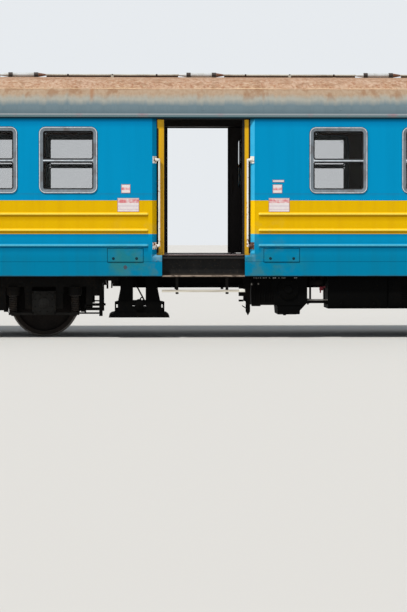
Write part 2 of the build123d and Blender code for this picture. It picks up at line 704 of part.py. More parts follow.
def doorway_wall_side(z):
    """The stretch of wall behind the slanting jamb on the right, near the height z."""
    inner = DOOR_WIDTH / 2
    outer = RECESS_WIDTH / 2
    corners = [
        (outer, -HALF_WIDTH),
        (inner, -(HALF_WIDTH - OUTER_SKIN)),
        (2 * outer, -(HALF_WIDTH - OUTER_SKIN)),
        (2 * outer, -HALF_WIDTH),
    ]
    return Pos(0, 0, z - RAIL_FOOT_HEIGHT) * extrude(polygon(corners), amount=2 * RAIL_FOOT_HEIGHT)


def make_flap(side):
    """A bolted flap beside a near-side doorway, over the seam of the skirt."""
    x0 = side * FLAP_INNER_EDGE
    x1 = side * (FLAP_INNER_EDGE + FLAP_WIDTH)
    return block(x0, x1, -HALF_WIDTH - FLAP_THICKNESS, -HALF_WIDTH, FLAP_BOTTOM, FLAP_TOP)


# Saloon

def seat_positions():
    """Centres of the back-to-back benches along the coach."""
    clear = SEAT_DEPTH + SEAT_BACK_THICKNESS
    middle_end = DOOR_X - SCREEN_FROM_DOOR
    middle_count = int((middle_end - clear) // SEAT_BAY_LENGTH)
    places = [SEAT_BAY_LENGTH * i for i in range(-middle_count, middle_count + 1)]
    start = DOOR_X + SCREEN_FROM_DOOR + SCREEN_THICKNESS + clear + SEAT_PEDESTAL_WIDTH
    end = SHELL_END - HINGE_STAND_OFF - END_DOOR_WIDTH - clear
    count = int((end - start) // SEAT_BAY_LENGTH) + 1
    for side in SIDES:
        places += [side * (start + SEAT_BAY_LENGTH * i) for i in range(count)]
    return places


def make_bench(x, side):
    """Two benches back to back, with one pedestal under them."""
    seat = FLOOR_TOP + SEAT_HEIGHT
    back = FLOOR_TOP + SEAT_BACK_HEIGHT
    half_back = SEAT_BACK_THICKNESS / 2
    reach = half_back + SEAT_DEPTH
    under = seat - SEAT_CUSHION_THICKNESS
    half_leg = SEAT_PEDESTAL_WIDTH / 2
    outline = polygon([
        (x - half_leg, FLOOR_TOP),
        (x + half_leg, FLOOR_TOP),
        (x + half_leg, under),
        (x + reach, under),
        (x + reach, seat),
        (x + half_back, seat - SEAT_CUSHION_THICKNESS / 4),
        (x + half_back * 0.6, back),
        (x - half_back * 0.6, back),
        (x - half_back, seat - SEAT_CUSHION_THICKNESS / 4),
        (x - reach, seat),
        (x - reach, under),
        (x - half_leg, under),
    ])
    y0 = AISLE_WIDTH / 2
    y1 = INNER_FACE - SEAT_GAP_TO_WALL
    return along_y(outline, y0, y1) if side > 0 else along_y(outline, -y1, -y0)


def make_screen(x0, side):
    """Half of a screen between vestibule and saloon, from the aisle to the wall."""
    gap = side * SCREEN_GAP_WIDTH / 2
    return block(x0, x0 + SCREEN_THICKNESS, gap, side * INNER_FACE, FLOOR_TOP, WALL_TOP)


def make_rack(x0, x1, side):
    """A luggage shelf with a raised front lip, on the wall above the windows."""
    wall = side * INNER_FACE
    front = side * (INNER_FACE - RACK_DEPTH)
    shelf = block(x0, x1, front, wall, RACK_HEIGHT, RACK_HEIGHT + RACK_THICKNESS)
    lip = block(x0, x1, front, front + side * RACK_THICKNESS, RACK_HEIGHT, RACK_HEIGHT + RACK_LIP)
    return shelf + lip


# Underframe

def make_sole_bars():
    """The two long bars under the floor's edges."""
    return [
        block(-SHELL_END, SHELL_END, side * SOLE_BAR_INNER, side * SOLE_BAR_OUTER, SOLE_BAR_BOTTOM, FLOOR_BOTTOM)
        for side in SIDES
    ]


def make_cross_members():
    """The bars between the sole bars, left out where a bolster stands."""
    half = CROSS_MEMBER_WIDTH / 2
    clear = half + BOLSTER_LENGTH / 2
    bottom = FLOOR_BOTTOM - CROSS_MEMBER_DEPTH
    members = []
    for i in range(CROSS_MEMBERS):
        x = (SHELL_END - half) * (2 * i / (CROSS_MEMBERS - 1) - 1)
        if abs(abs(x) - PIVOT_X) > clear:
            members.append(block(x - half, x + half, -SOLE_BAR_INNER, SOLE_BAR_INNER, bottom, FLOOR_BOTTOM))
    return members


def make_bolster(side):
    """The body's cross beam over a bogie, with its centre pin."""
    x = side * PIVOT_X
    reach = BOLSTER_LENGTH / 2
    seat = BOGIE_TOP + BEARING_GAP
    beam = block(x - reach, x + reach, -SOLE_BAR_INNER, SOLE_BAR_INNER, seat, FLOOR_BOTTOM)
    return beam + rod_z(PIVOT_PIN_RADIUS, x, 0, BOGIE_TOP - PIVOT_PIN_LENGTH, seat + 1)


def make_cradle():
    """The cradle under the left of a doorway: two legs, a thin brace, a tank between posts and a flat foot."""
    top = SOLE_BAR_BOTTOM
    body_left = CRADLE_LEFT + 86.0
    body_right = CRADLE_RIGHT - 74.0
    foot = polygon([
        (CRADLE_LEFT, CRADLE_BASE),
        (CRADLE_RIGHT, CRADLE_BASE),
        (CRADLE_RIGHT - 8, CRADLE_BASE + 35),
        (CRADLE_RIGHT - 36, CRADLE_BASE_TOP - 12),
        (body_right, CRADLE_BASE_TOP),
        (body_left, CRADLE_BASE_TOP),
        (CRADLE_LEFT + 36, CRADLE_BASE_TOP - 12),
        (CRADLE_LEFT + 8, CRADLE_BASE + 35),
    ])
    shoulder = CRADLE_BODY_TOP - 20
    body = polygon([
        (body_left, CRADLE_BASE_TOP),
        (body_right, CRADLE_BASE_TOP),
        (body_right, shoulder),
        (CRADLE_LEGS[1][1], CRADLE_BODY_TOP),
        (CRADLE_LEGS[0][0], CRADLE_BODY_TOP),
        (body_left, shoulder),
    ])
    front = -EQUIPMENT_OUTER + 60
    back = -EQUIPMENT_INNER - 30
    cradle = along_y(foot, -EQUIPMENT_OUTER + 30, -EQUIPMENT_INNER) + along_y(body, front, back)
    flare = 44.0
    for x0, x1, side in ((*CRADLE_LEGS[0], -1), (*CRADLE_LEGS[1], 1)):
        outer = x0 if side < 0 else x1
        inner = x1 if side < 0 else x0
        leg = polygon([
            (outer + side * flare, CRADLE_BODY_TOP - flare),
            (inner, CRADLE_BODY_TOP - flare),
            (inner, top),
            (outer, top),
            (outer, CRADLE_BODY_TOP + 4 * flare),
            (outer + side * flare / 2, CRADLE_BODY_TOP + 1.5 * flare),
        ])
        cradle += along_y(leg, -SOLE_BAR_OUTER, -SOLE_BAR_INNER)
    inner_left = CRADLE_LEGS[0][1]
    inner_right = CRADLE_LEGS[1][0]
    brace = polygon([
        (inner_left - 2.5 * CRADLE_BRACE, top),
        (inner_left - 1.5 * CRADLE_BRACE, top),
        (inner_right, CRADLE_BODY_TOP - 1),
        (inner_right - CRADLE_BRACE, CRADLE_BODY_TOP - 1),
    ])
    cradle += along_y(brace, -SOLE_BAR_OUTER + 20, -SOLE_BAR_INNER - 20)
    tank_x = (inner_left + inner_right) / 2
    cradle += rod_y(CRADLE_TANK_RADIUS, tank_x, CRADLE_TANK_HEIGHT, front - 20, back)
    slot_foot = CRADLE_BASE_TOP + 37
    slot_head = shoulder - CRADLE_SLOT
    for side, edge in ((-1, body_left), (1, body_right)):
        x0 = edge - side * CRADLE_POST
        cradle -= block(x0, x0 - side * CRADLE_SLOT, front - 30, back + 30, slot_foot, slot_head)
        eye_x = tank_x + side * (CRADLE_TANK_RADIUS + CRADLE_SLOT / 2)
        eye = block(eye_x - 17, eye_x + 17, front - 30, back + 30, CRADLE_TANK_HEIGHT - 30, CRADLE_TANK_HEIGHT + 30)
        cradle -= eye
    return cradle


def make_block():
    """The machine block under the right of a doorway, with its sump and a bevelled lower corner."""
    top = SOLE_BAR_BOTTOM
    outline = polygon([
        (BLOCK_LEFT, BLOCK_BOTTOM),
        (SUMP_LEFT, BLOCK_BOTTOM),
        (SUMP_LEFT + SUMP_TAPER, SUMP_BOTTOM),
        (SUMP_RIGHT, SUMP_BOTTOM),
        (BLOCK_RIGHT, BLOCK_CORNER),
        (BLOCK_RIGHT, top),
        (BLOCK_LEFT, top),
    ])
    return along_y(outline, -EQUIPMENT_OUTER, -EQUIPMENT_INNER)


def make_case(left, right):
    """A long case with doors in its outer face, parted by seams."""
    top = SOLE_BAR_BOTTOM
    case = block(left, right, -EQUIPMENT_OUTER, -EQUIPMENT_INNER, CASE_BOTTOM, top)
    width = (right - left) / CASE_DOORS
    half = CASE_SEAM / 2
    for i in range(1, CASE_DOORS):
        x = left + width * i
        case -= block(x - half, x + half, -EQUIPMENT_OUTER - 1, -EQUIPMENT_OUTER + CASE_SEAM, CASE_BOTTOM - 1, top + 1)
    return case


def make_reservoir(x):
    """An air tank on the far side, hung by two straps from the sole bar."""
    y = SOLE_BAR_INNER - RESERVOIR_RADIUS / 2
    half = RESERVOIR_LENGTH / 2
    tank = rod_x(RESERVOIR_RADIUS, y, RESERVOIR_HEIGHT, x - half, x + half)
    rims = tank.edges().filter_by(GeomType.CIRCLE)
    tank = fillet(rims, RESERVOIR_RADIUS / 3)
    top = SOLE_BAR_BOTTOM
    for end in SIDES:
        strap_x = x + end * RESERVOIR_LENGTH / 3
        reach = HANGER_WIDTH / 2
        hoop = rod_x(RESERVOIR_RADIUS + HANGER_THICKNESS, y, RESERVOIR_HEIGHT, strap_x - reach, strap_x + reach)
        post = block(strap_x - reach, strap_x + reach, y - HANGER_WIDTH, y + RESERVOIR_RADIUS, RESERVOIR_HEIGHT, top)
        tank += hoop + post
    return tank


def make_strut():
    """The hanging strut at the left of the machine block, with side prongs and a pointed tip."""
    top = SOLE_BAR_BOTTOM
    waist = STRUT_LEFT + STRUT_STEP
    outline = polygon([
        (STRUT_LEFT, top),
        (STRUT_LEFT, STRUT_STEP_TOP),
        (waist, STRUT_STEP_TOP - STRUT_STEP / 2),
        (waist, STRUT_BOTTOM + STRUT_TIP),
        ((waist + STRUT_RIGHT) / 2, STRUT_BOTTOM),
        (STRUT_RIGHT, STRUT_BOTTOM + STRUT_TIP),
        (STRUT_RIGHT, top),
    ])
    outer = -(HALF_WIDTH - STRUT_INSET)
    strut = along_y(outline, outer, outer + STRUT_THICKNESS)
    for reach, foot, head in STRUT_PRONGS:
        strut += block(STRUT_LEFT - reach, STRUT_LEFT + 1, outer + 20, outer + STRUT_THICKNESS - 20, foot, head)
    spur_z = STRUT_BOTTOM + 2 * STRUT_TIP
    spur = polygon([
        (waist + 1, spur_z - 17),
        (waist + 1, spur_z),
        (STRUT_LEFT - STRUT_STEP / 2, spur_z + STRUT_STEP),
        (STRUT_LEFT - STRUT_STEP / 2, spur_z + STRUT_STEP - 17),
    ])
    return strut + along_y(spur, outer + 20, outer + STRUT_THICKNESS - 20)


def make_link_pipes():
    """The pipe from block to case, its curved riser and the cut-off cock."""
    y = -(SOLE_BAR_INNER + SOLE_BAR_OUTER) / 2
    top = SOLE_BAR_BOTTOM
    main = rod_x(PIPE_RADIUS, y, PIPE_HEIGHT, BLOCK_RIGHT, CASE_LEFT)
    riser_x = BLOCK_RIGHT + 2 * PIPE_RADIUS
    riser = rod_z(PIPE_RADIUS * 0.6, riser_x, y, PIPE_HEIGHT, top)
    cock_x = CASE_LEFT - 2 * PIPE_RADIUS
    cock = rod_y(PIPE_RADIUS, cock_x, (PIPE_HEIGHT + top) / 2, y - 2 * PIPE_RADIUS, y + PIPE_RADIUS)
    stem = rod_z(PIPE_RADIUS * 0.5, cock_x, y, PIPE_HEIGHT, top)
    return main + riser + stem + cock


def hang_from_floor(piece, y, foot):
    """A rod or duct that runs under the floor, with its hangers from the cross members."""
    pieces = [piece]
    pitch = 2 * (SHELL_END - CROSS_MEMBER_WIDTH / 2) / (CROSS_MEMBERS - 1)
    reach = HANGER_WIDTH / 2
    half = HANGER_THICKNESS / 2
    for place in ROD_HANGERS:
        x = pitch * round(place / pitch)
        pieces.append(block(x - half, x + half, y - reach, y + reach, foot, FLOOR_BOTTOM - CROSS_MEMBER_DEPTH))
    return joined(pieces)


def make_brake_rod(side):
    """A brake rod that runs from bogie to bogie."""
    end = PIVOT_X - BOGIE_LENGTH / 2 - 3 * CROSS_MEMBER_WIDTH
    y = side * BRAKE_ROD_OFFSET
    rod = rod_x(BRAKE_ROD_RADIUS, y, BRAKE_ROD_HEIGHT, -end, end)
    return hang_from_floor(rod, y, BRAKE_ROD_HEIGHT)


def make_duct():
    """The cable duct behind the cases."""
    end = PIVOT_X - BOGIE_LENGTH / 2 - CROSS_MEMBER_WIDTH
    duct = block(-end, end, -DUCT_OUTER, -DUCT_INNER, DUCT_BOTTOM, DUCT_TOP)
    return hang_from_floor(duct, -(DUCT_OUTER + DUCT_INNER) / 2, DUCT_TOP - 1)


# Running gear, drawn round the bogie's own centre

def make_wheel(side):
    """A rail wheel: hub, dished web, rim, tread and flange."""
    inner = WHEEL_INNER_Y
    outer = inner + WHEEL_WIDTH
    flange = TREAD_RADIUS + FLANGE_HEIGHT
    rim = TREAD_RADIUS - RIM_DEPTH
    web_in = inner + WHEEL_WIDTH * 0.55
    web_out = inner + WHEEL_WIDTH * 0.30
    profile = polygon([
        (AXLE_RADIUS, inner - 20),
        (HUB_RADIUS, inner - 20),
        (HUB_RADIUS, web_in),
        (rim, web_out),
        (rim, inner),
        (flange - 12, inner),
        (flange, inner + 10),
        (flange, inner + FLANGE_THICKNESS - 14),
        (TREAD_RADIUS, inner + FLANGE_THICKNESS),
        (TREAD_RADIUS, outer),
        (rim, outer),
        (rim, web_out + WEB_THICKNESS),
        (HUB_RADIUS, web_in + WEB_THICKNESS),
        (HUB_RADIUS, outer + 20),
        (AXLE_RADIUS, outer + 20),
    ])
    wheel = revolve(profile, axis=Axis.Y)
    wheel = Pos(0, 0, TREAD_RADIUS) * wheel
    return wheel if side > 0 else mirror(wheel, about=Plane.XZ)


def make_axle():
    """An axle with its wheel seats and journals."""
    seat_end = WHEEL_INNER_Y + WHEEL_WIDTH + 20
    journal_end = JOURNAL_Y + JOURNAL_LENGTH / 2
    body = rod_y(AXLE_RADIUS * 0.86, 0, TREAD_RADIUS, -seat_end, seat_end)
    pieces = [body]
    for side in SIDES:
        pieces.append(rod_y(AXLE_RADIUS, 0, TREAD_RADIUS, side * (WHEEL_INNER_Y - 40), side * seat_end))
        pieces.append(rod_y(JOURNAL_RADIUS, 0, TREAD_RADIUS, side * (seat_end - 1), side * journal_end))
    return joined(pieces)


def make_axlebox(axle_x, side):
    """An axlebox with the two wings that carry its springs."""
    y0 = side * (JOURNAL_Y - AXLEBOX_WIDTH / 2)
    y1 = side * (JOURNAL_Y + AXLEBOX_WIDTH / 2)
    half = AXLEBOX_SIZE / 2
    box = block(axle_x - half, axle_x + half, y0, y1, WING_BOTTOM, TREAD_RADIUS + half)
    reach = SPRING_OFFSET + SPRING_RADIUS
    wing_top = WING_BOTTOM + WING_THICKNESS
    wing = block(axle_x - reach, axle_x + reach, y0, y1, WING_BOTTOM, wing_top)
    cover = rod_y(AXLEBOX_COVER_RADIUS, axle_x, TREAD_RADIUS, y1 - side, y1 + side * AXLEBOX_COVER_PROUD)
    bore_end = side * (JOURNAL_Y + JOURNAL_LENGTH / 2 + 1)
    bore = rod_y(JOURNAL_RADIUS + FIT_CLEARANCE, axle_x, TREAD_RADIUS, y0 - side, bore_end)
    return box + wing + cover - bore


def make_spring(x, side):
    """A coil spring between an axlebox wing and the frame, drawn as a stack of turns."""
    z0 = WING_BOTTOM + WING_THICKNESS
    z1 = BOGIE_BEAM_BOTTOM - SPRING_CAP
    pitch = (z1 - z0) / SPRING_TURNS
    groove = SPRING_WIRE / 2
    points = [(0, z0)]
    for turn in range(SPRING_TURNS):
        foot = z0 + pitch * turn
        points.append((SPRING_RADIUS - groove, foot))
        points.append((SPRING_RADIUS, foot + pitch * 0.25))
        points.append((SPRING_RADIUS, foot + pitch * 0.75))
    points.append((SPRING_RADIUS - groove, z1))
    points.append((0, z1))
    coil = revolve(Plane.XZ * polygon(points), axis=Axis.Z)
    return Pos(x, side * JOURNAL_Y, 0) * coil


def make_bogie_frame():
    """Side beams, transoms, end beams, horn guides, spring caps and the bolster with its pin bore."""
    half_length = BOGIE_LENGTH / 2
    half_beam = BOGIE_BEAM_WIDTH / 2
    beam_top = BOGIE_BEAM_BOTTOM + BOGIE_BEAM_DEPTH
    inner_y = JOURNAL_Y - half_beam
    pieces = []
    for side in SIDES:
        y0 = side * inner_y
        y1 = side * (JOURNAL_Y + half_beam)
        drop = 90.0
        outline = polygon([
            (-half_length, beam_top - drop),
            (-half_length + drop, BOGIE_BEAM_BOTTOM),
            (half_length - drop, BOGIE_BEAM_BOTTOM),
            (half_length, beam_top - drop),
            (half_length, beam_top),
            (-half_length, beam_top),
        ])
        pieces.append(along_y(outline, min(y0, y1), max(y0, y1)))
        for axle_x in (-WHEELBASE / 2, WHEELBASE / 2):
            for end in SIDES:
                spring_x = axle_x + end * SPRING_OFFSET
                cap_bottom = BOGIE_BEAM_BOTTOM - SPRING_CAP
                pieces.append(rod_z(SPRING_CAP_RADIUS, spring_x, side * JOURNAL_Y, cap_bottom, BOGIE_BEAM_BOTTOM + 1))
                horn_x = axle_x + end * (AXLEBOX_SIZE / 2 + HORN_WIDTH / 2 + BEARING_GAP)
                horn_half = HORN_WIDTH / 2
                horn_foot = TREAD_RADIUS - AXLEBOX_SIZE / 4
                pieces.append(block(horn_x - horn_half, horn_x + horn_half, y0, y1, horn_foot, BOGIE_BEAM_BOTTOM + 1))
    reach = BOLSTER_LENGTH / 2
    transom_bottom = BOGIE_BEAM_BOTTOM - BOGIE_CROSS_BEAM_DROP
    for side in SIDES:
        x0 = side * (reach + 40)
        x1 = x0 + side * BOGIE_CROSS_BEAM_WIDTH
        pieces.append(block(x0, x1, -inner_y - 1, inner_y + 1, transom_bottom, beam_top - 20))
        end_x = side * (half_length - 40)
        pieces.append(block(end_x, end_x - side * 80, -inner_y - 1, inner_y + 1, BOGIE_END_BEAM_BOTTOM, beam_top))
    pieces.append(block(-reach - 41, reach + 41, -inner_y - 1, inner_y + 1, transom_bottom + 40, beam_top - 40))
    pieces.append(block(-reach + 20, reach - 20, -inner_y - 40, inner_y + 40, beam_top - 41, BOGIE_TOP))
    frame = joined(pieces)
    bore = PIVOT_PIN_RADIUS + FIT_CLEARANCE
    return frame - rod_z(bore, 0, 0, BOGIE_TOP - PIVOT_PIN_LENGTH - 1, BOGIE_TOP + 1)


def make_brake_beam(axle_x, end):
    """A brake beam beside one wheelset, with its two shoes, hangers and the stubs on the side beams."""
    shoe_inner = TREAD_RADIUS + BRAKE_GAP
    shoe_outer = shoe_inner + BRAKE_SHOE_DEPTH
    shoe_y0 = WHEEL_INNER_Y + FLANGE_THICKNESS + BRAKE_GAP
    shoe_y1 = WHEEL_INNER_Y + WHEEL_WIDTH - BRAKE_GAP
    beam_x = axle_x + end * (shoe_outer + 20)
    bar_height = TREAD_RADIUS - 40
    pieces = [rod_y(24, beam_x, bar_height, -shoe_y1, shoe_y1)]
    window = block(axle_x, axle_x + end * 2 * shoe_outer, 0, 2 * shoe_y1, 0, BRAKE_SHOE_HEIGHT)
    window = Pos(0, 0, TREAD_RADIUS - 20 - BRAKE_SHOE_HEIGHT / 2) * window
    shoe = rod_y(shoe_outer, axle_x, TREAD_RADIUS, shoe_y0, shoe_y1)
    shoe -= rod_y(shoe_inner, axle_x, TREAD_RADIUS, shoe_y0 - 1, shoe_y1 + 1)
    shoe = shoe & window
    hanger_x0 = axle_x + end * (shoe_outer - 2)
    hanger_x1 = axle_x + end * (shoe_outer + BRAKE_HANGER_WIDTH)
    hanger_foot = TREAD_RADIUS - BRAKE_SHOE_HEIGHT / 2 + 20
    stub_bottom = BOGIE_BEAM_BOTTOM + 20
    stub_top = stub_bottom + 50
    middle = (shoe_y0 + shoe_y1) / 2
    hanger = block(hanger_x0, hanger_x1, middle - 20, middle + 20, hanger_foot, stub_top)
    stub_end = JOURNAL_Y - BOGIE_BEAM_WIDTH / 2
    stub = block(hanger_x0, hanger_x1, middle - 20, stub_end, stub_bottom, stub_top)
    half = shoe + hanger + stub
    pieces.append(half)
    pieces.append(mirror(half, about=Plane.XZ))
    return joined(pieces)


def make_lifeguards():
    """Upright guard irons under the bogie's four corners."""
    x = BOGIE_LENGTH / 2 - LIFEGUARD_INSET
    top = BOGIE_BEAM_BOTTOM + BOGIE_BEAM_DEPTH / 2
    irons = []
    for end in SIDES:
        for side in SIDES:
            y0 = side * (JOURNAL_Y + BOGIE_BEAM_WIDTH / 2)
            x0 = end * x
            x1 = end * (x + LIFEGUARD_WIDTH)
            irons.append(block(x0, x1, y0, y0 + side * HANGER_THICKNESS, LIFEGUARD_BOTTOM, top))
    return irons


# Build and save every piece

def on_both_doorways(near_piece):
    """A near-side piece drawn round X = 0, put at all four doorways."""
    pieces = []
    for door_x in (-DOOR_X, DOOR_X):
        placed = Pos(door_x, 0, 0) * near_piece
        pieces.append(placed)
        pieces.append(on_far_side(placed))
    return pieces


def build_body():
    near_walls = [wall_section(section) for section in ("left", "middle", "right")]
    save("side_wall_near", near_walls)
    save("side_wall_far", [on_far_side(wall) for wall in near_walls])
    crown, sides = roof_sheets()
    save("roof_crown", [crown])
    save("roof_sides", sides)
    save("ceiling", [make_ceiling()])
    floor = block(-SHELL_END, SHELL_END, -INNER_FACE, INNER_FACE, FLOOR_BOTTOM, FLOOR_TOP)
    save("floor", [joined([floor, *on_both_doorways(make_sill())])])
    save("door_gear_covers", on_both_doorways(make_gear_cover()))
    save("steps", on_both_doorways(make_steps()))
    save("footboards", on_both_doorways(make_footboard()))
    handrails = []
    flaps = []
    for side in SIDES:
        handrails += on_both_doorways(make_handrail(side))
        flaps += on_both_doorways(make_flap(side))
    save("handrails", handrails)
    save("access_flaps", flaps)
    places = [x for section in ("left", "middle", "right") for x in window_centres(section)]
    frames = []
    panes = []
    for x in places:
        frames += [window_frame(x), on_far_side(window_frame(x))]
        panes += [window_panes(x), on_far_side(window_panes(x))]
    save("window_frames", frames)
    save("window_glass", panes)


def build_ends():
    for number, turn in ((1, 180), (2, 0)):
        place = Rot(0, 0, turn)
        save(f"end_wall_{number}", [place * make_end_wall()])
        save(f"end_door_{number}", [place * make_end_door()])
    ends = [Rot(0, 0, turn) for turn in (180, 0)]
    save("gangways", [place * make_gangway() for place in ends])
    save("buffers", [place * make_buffer(side) for place in ends for side in SIDES])
    save("couplers", [place * make_coupler() for place in ends])


def build_leaves():
    """Doorway 1 stands open as it is parked and doorway 2 is shut, on both sides."""
    shut = LEAF_MEETING_GAP / 2
    # side, doorway number, doorway centre, rest place of the leading edges
    doorways = [
        ("near", 1, -DOOR_X, NEAR_REST_EDGE),
        ("near", 2, DOOR_X, shut),
        ("far", 1, -DOOR_X, FAR_REST_EDGE),
        ("far", 2, DOOR_X, shut),
    ]
    for side, number, x, edge in doorways:
        left = make_leaf(edge)
        right = mirror(left, about=Plane.YZ)
        if side == "far":
            left = mirror(left, about=Plane.XZ)
            right = mirror(right, about=Plane.XZ)
        save(f"door_{side}_{number}_left", [Pos(x, 0, 0) * left])
        save(f"door_{side}_{number}_right", [Pos(x, 0, 0) * right])


def build_saloon():
    save("seats", [make_bench(x, side) for x in seat_positions() for side in SIDES])
    screens = []
    for door_x in (-DOOR_X, DOOR_X):
        for end in SIDES:
            x = door_x + end * SCREEN_FROM_DOOR - SCREEN_THICKNESS / 2
            screens += [make_screen(x, side) for side in SIDES]
    save("vestibule_screens", screens)
    near_screen = DOOR_X - SCREEN_FROM_DOOR - SCREEN_THICKNESS / 2
    far_screen = DOOR_X + SCREEN_FROM_DOOR + SCREEN_THICKNESS / 2
    rack_end = SHELL_END - END_DOOR_WIDTH
    stretches = [(-rack_end, -far_screen), (-near_screen, near_screen), (far_screen, rack_end)]
    save("luggage_racks", [make_rack(x0, x1, side) for x0, x1 in stretches for side in SIDES])
    poles = []
    for door_x in (-DOOR_X, DOOR_X):
        for end in SIDES:
            for side in SIDES:
                x = door_x + end * POLE_FROM_DOOR
                poles.append(rod_z(POLE_RADIUS, x, side * POLE_OFFSET, FLOOR_TOP, CEILING_BOTTOM))
    save("grab_poles", poles)


def build_roof_fittings():
    y = -VENT_OFFSET
    roof_z = roof_height(y)
    z = roof_z + VENT_RADIUS
    roof_solid = along_x(roof_outline(0, WALL_TOP), -SHELL_END, SHELL_END)
    places = [VENT_PITCH * (i - (VENTS - 1) / 2) for i in range(VENTS)]
    reach = VENT_LENGTH / 2 + VENT_CLAMP
    tip = reach + VENT_CONE
    vents = []
    for x in places:
        profile = polygon([
            (-tip, 0),
            (-tip, CONDUIT_RADIUS),
            (-reach, VENT_RADIUS - 1),
            (reach, VENT_RADIUS - 1),
            (tip, CONDUIT_RADIUS),
            (tip, 0),
        ])
        body = revolve(profile, axis=Axis.X)
        vent = Pos(x, y, z) * body
        for end in SIDES:
            clamp_x = x + end * (reach - VENT_CLAMP / 2)
            half = VENT_CLAMP / 2
            vent += rod_x(VENT_RADIUS + VENT_CLAMP_PROUD, y, z, clamp_x - half, clamp_x + half)
            vent += block(clamp_x - half, clamp_x + half, y - VENT_RADIUS, y + VENT_RADIUS, roof_z - 30, z)
        vents.append(vent - roof_solid)
    save("ventilators", vents)
    spans = [(-SHELL_END, places[0] - tip)]
    spans += [(places[i] + tip, places[i + 1] - tip) for i in range(VENTS - 1)]
    spans.append((places[-1] + tip, SHELL_END))
    conduits = []
    for x0, x1 in spans:
        conduit = rod_x(CONDUIT_RADIUS, y, z, x0, x1)
        half = CONDUIT_CLIP / 2
        clip_x = (x0 + x1) / 2
        conduit += block(clip_x - half, clip_x + half, y - half, y + half, roof_z - 30, z) - roof_solid
        conduits.append(conduit)
    save("roof_conduit", conduits)


def build_underfloor():
    save("sole_bars", make_sole_bars())
    save("cross_members", make_cross_members() + [make_bolster(side) for side in SIDES])
    at_door = Pos(-DOOR_X, 0, 0)
    save("compressor_cradle", [at_door * make_cradle()])
    save("machine_block", [at_door * make_block()])
    save("equipment_case", [at_door * make_case(CASE_LEFT, CASE_RIGHT)])
    save("hanging_strut", [at_door * make_strut()])
    save("underfloor_pipes", [at_door * make_link_pipes(), make_duct()])
    save("air_reservoirs", [make_reservoir(x) for x in RESERVOIR_PLACES])
    battery_left = CASE_RIGHT - DOOR_X + BATTERY_GAP
    battery = block(
        battery_left,
        battery_left + BATTERY_LENGTH,
        -EQUIPMENT_OUTER,
        -EQUIPMENT_INNER,
        BATTERY_BOTTOM,
        SOLE_BAR_BOTTOM,
    )
    save("battery_box", [battery])
    save("brake_rods", [make_brake_rod(side) for side in SIDES])


def build_bogies():
    for number, pivot_x in ((1, -PIVOT_X), (2, PIVOT_X)):
        place = Pos(pivot_x, 0, 0)
        frame = joined([make_bogie_frame(), *make_lifeguards()])
        save(f"bogie_frame_{number}", [place * frame])
        axles = (-WHEELBASE / 2, WHEELBASE / 2)
        boxes = [place * make_axlebox(x, side) for x in axles for side in SIDES]
        save(f"axleboxes_{number}", boxes)
        springs = []
        brakes = []
        for x in axles:
            for end in SIDES:
                springs += [place * make_spring(x + end * SPRING_OFFSET, side) for side in SIDES]
                brakes.append(place * make_brake_beam(x, end))
        save(f"bogie_springs_{number}", springs)
        save(f"brake_gear_{number}", brakes)
        for index, x in enumerate(axles):
            wheelset = 2 * number - 1 + index
            at_axle = place * Pos(x, 0, 0)
            save(f"wheels_{wheelset}", [at_axle * make_wheel(side) for side in SIDES])
            save(f"axle_{wheelset}", [at_axle * make_axle()])


os.makedirs("parts", exist_ok=True)
build_body()
build_ends()
build_leaves()
build_saloon()
build_roof_fittings()
build_underfloor()
build_bogies()
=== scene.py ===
import math

import bpy
from mathutils import Matrix, Vector


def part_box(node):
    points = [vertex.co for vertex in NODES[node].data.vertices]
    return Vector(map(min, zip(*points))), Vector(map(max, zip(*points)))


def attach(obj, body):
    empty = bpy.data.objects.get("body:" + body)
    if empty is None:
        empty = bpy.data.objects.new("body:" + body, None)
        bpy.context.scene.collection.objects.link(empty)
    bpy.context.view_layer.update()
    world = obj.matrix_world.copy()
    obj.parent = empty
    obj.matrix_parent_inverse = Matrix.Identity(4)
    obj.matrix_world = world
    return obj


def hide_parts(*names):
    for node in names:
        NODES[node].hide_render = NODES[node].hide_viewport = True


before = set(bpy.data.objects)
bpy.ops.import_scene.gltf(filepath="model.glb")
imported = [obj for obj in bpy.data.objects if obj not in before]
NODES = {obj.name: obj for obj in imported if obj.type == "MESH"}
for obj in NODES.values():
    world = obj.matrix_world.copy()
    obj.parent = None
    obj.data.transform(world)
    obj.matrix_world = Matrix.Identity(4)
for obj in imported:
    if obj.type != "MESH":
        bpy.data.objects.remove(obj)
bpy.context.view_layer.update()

# Camera, floor and light. The coach is seen from across the tracks, nearly square to its side,
# through a long lens at a person's height. Pale floor and backdrop, one soft sun from the upper left.
CAMERA_PLACE = (-4.98, -33.94, 1.542)
CAMERA_YAW = 1.9
CAMERA_PITCH = 1.9
FLOOR_SIZE = 400
SUNS = (  # tilt, turn, strength and width of each sun, with its colour
    (35, -46, 3.5, 5, (1.0, 0.97, 0.92)),
    (60, 130, 0.25, 30, (1.0, 1.0, 1.0)),
)
bpy.ops.object.select_all(action="DESELECT")
bpy.ops.object.camera_add(
    location=CAMERA_PLACE,
    rotation=(math.radians(90 - CAMERA_PITCH), 0, -math.radians(CAMERA_YAW)),
)
camera = bpy.context.object
camera.data.sensor_fit = "VERTICAL"
camera.data.sensor_height = 36.0
camera.data.lens = 134.6
bpy.context.scene.camera = camera
bpy.context.scene.view_settings.view_transform = "Standard"
bpy.ops.mesh.primitive_plane_add(size=FLOOR_SIZE, location=(0, 0, 0))
floor = bpy.context.object
floor.name = "studio_floor"
for tilt, turn, strength, width, colour in SUNS:
    bpy.ops.object.light_add(type="SUN", rotation=(math.radians(tilt), 0, math.radians(turn)))
    sun = bpy.context.object.data
    sun.energy = strength
    sun.angle = math.radians(width)
    sun.color = colour


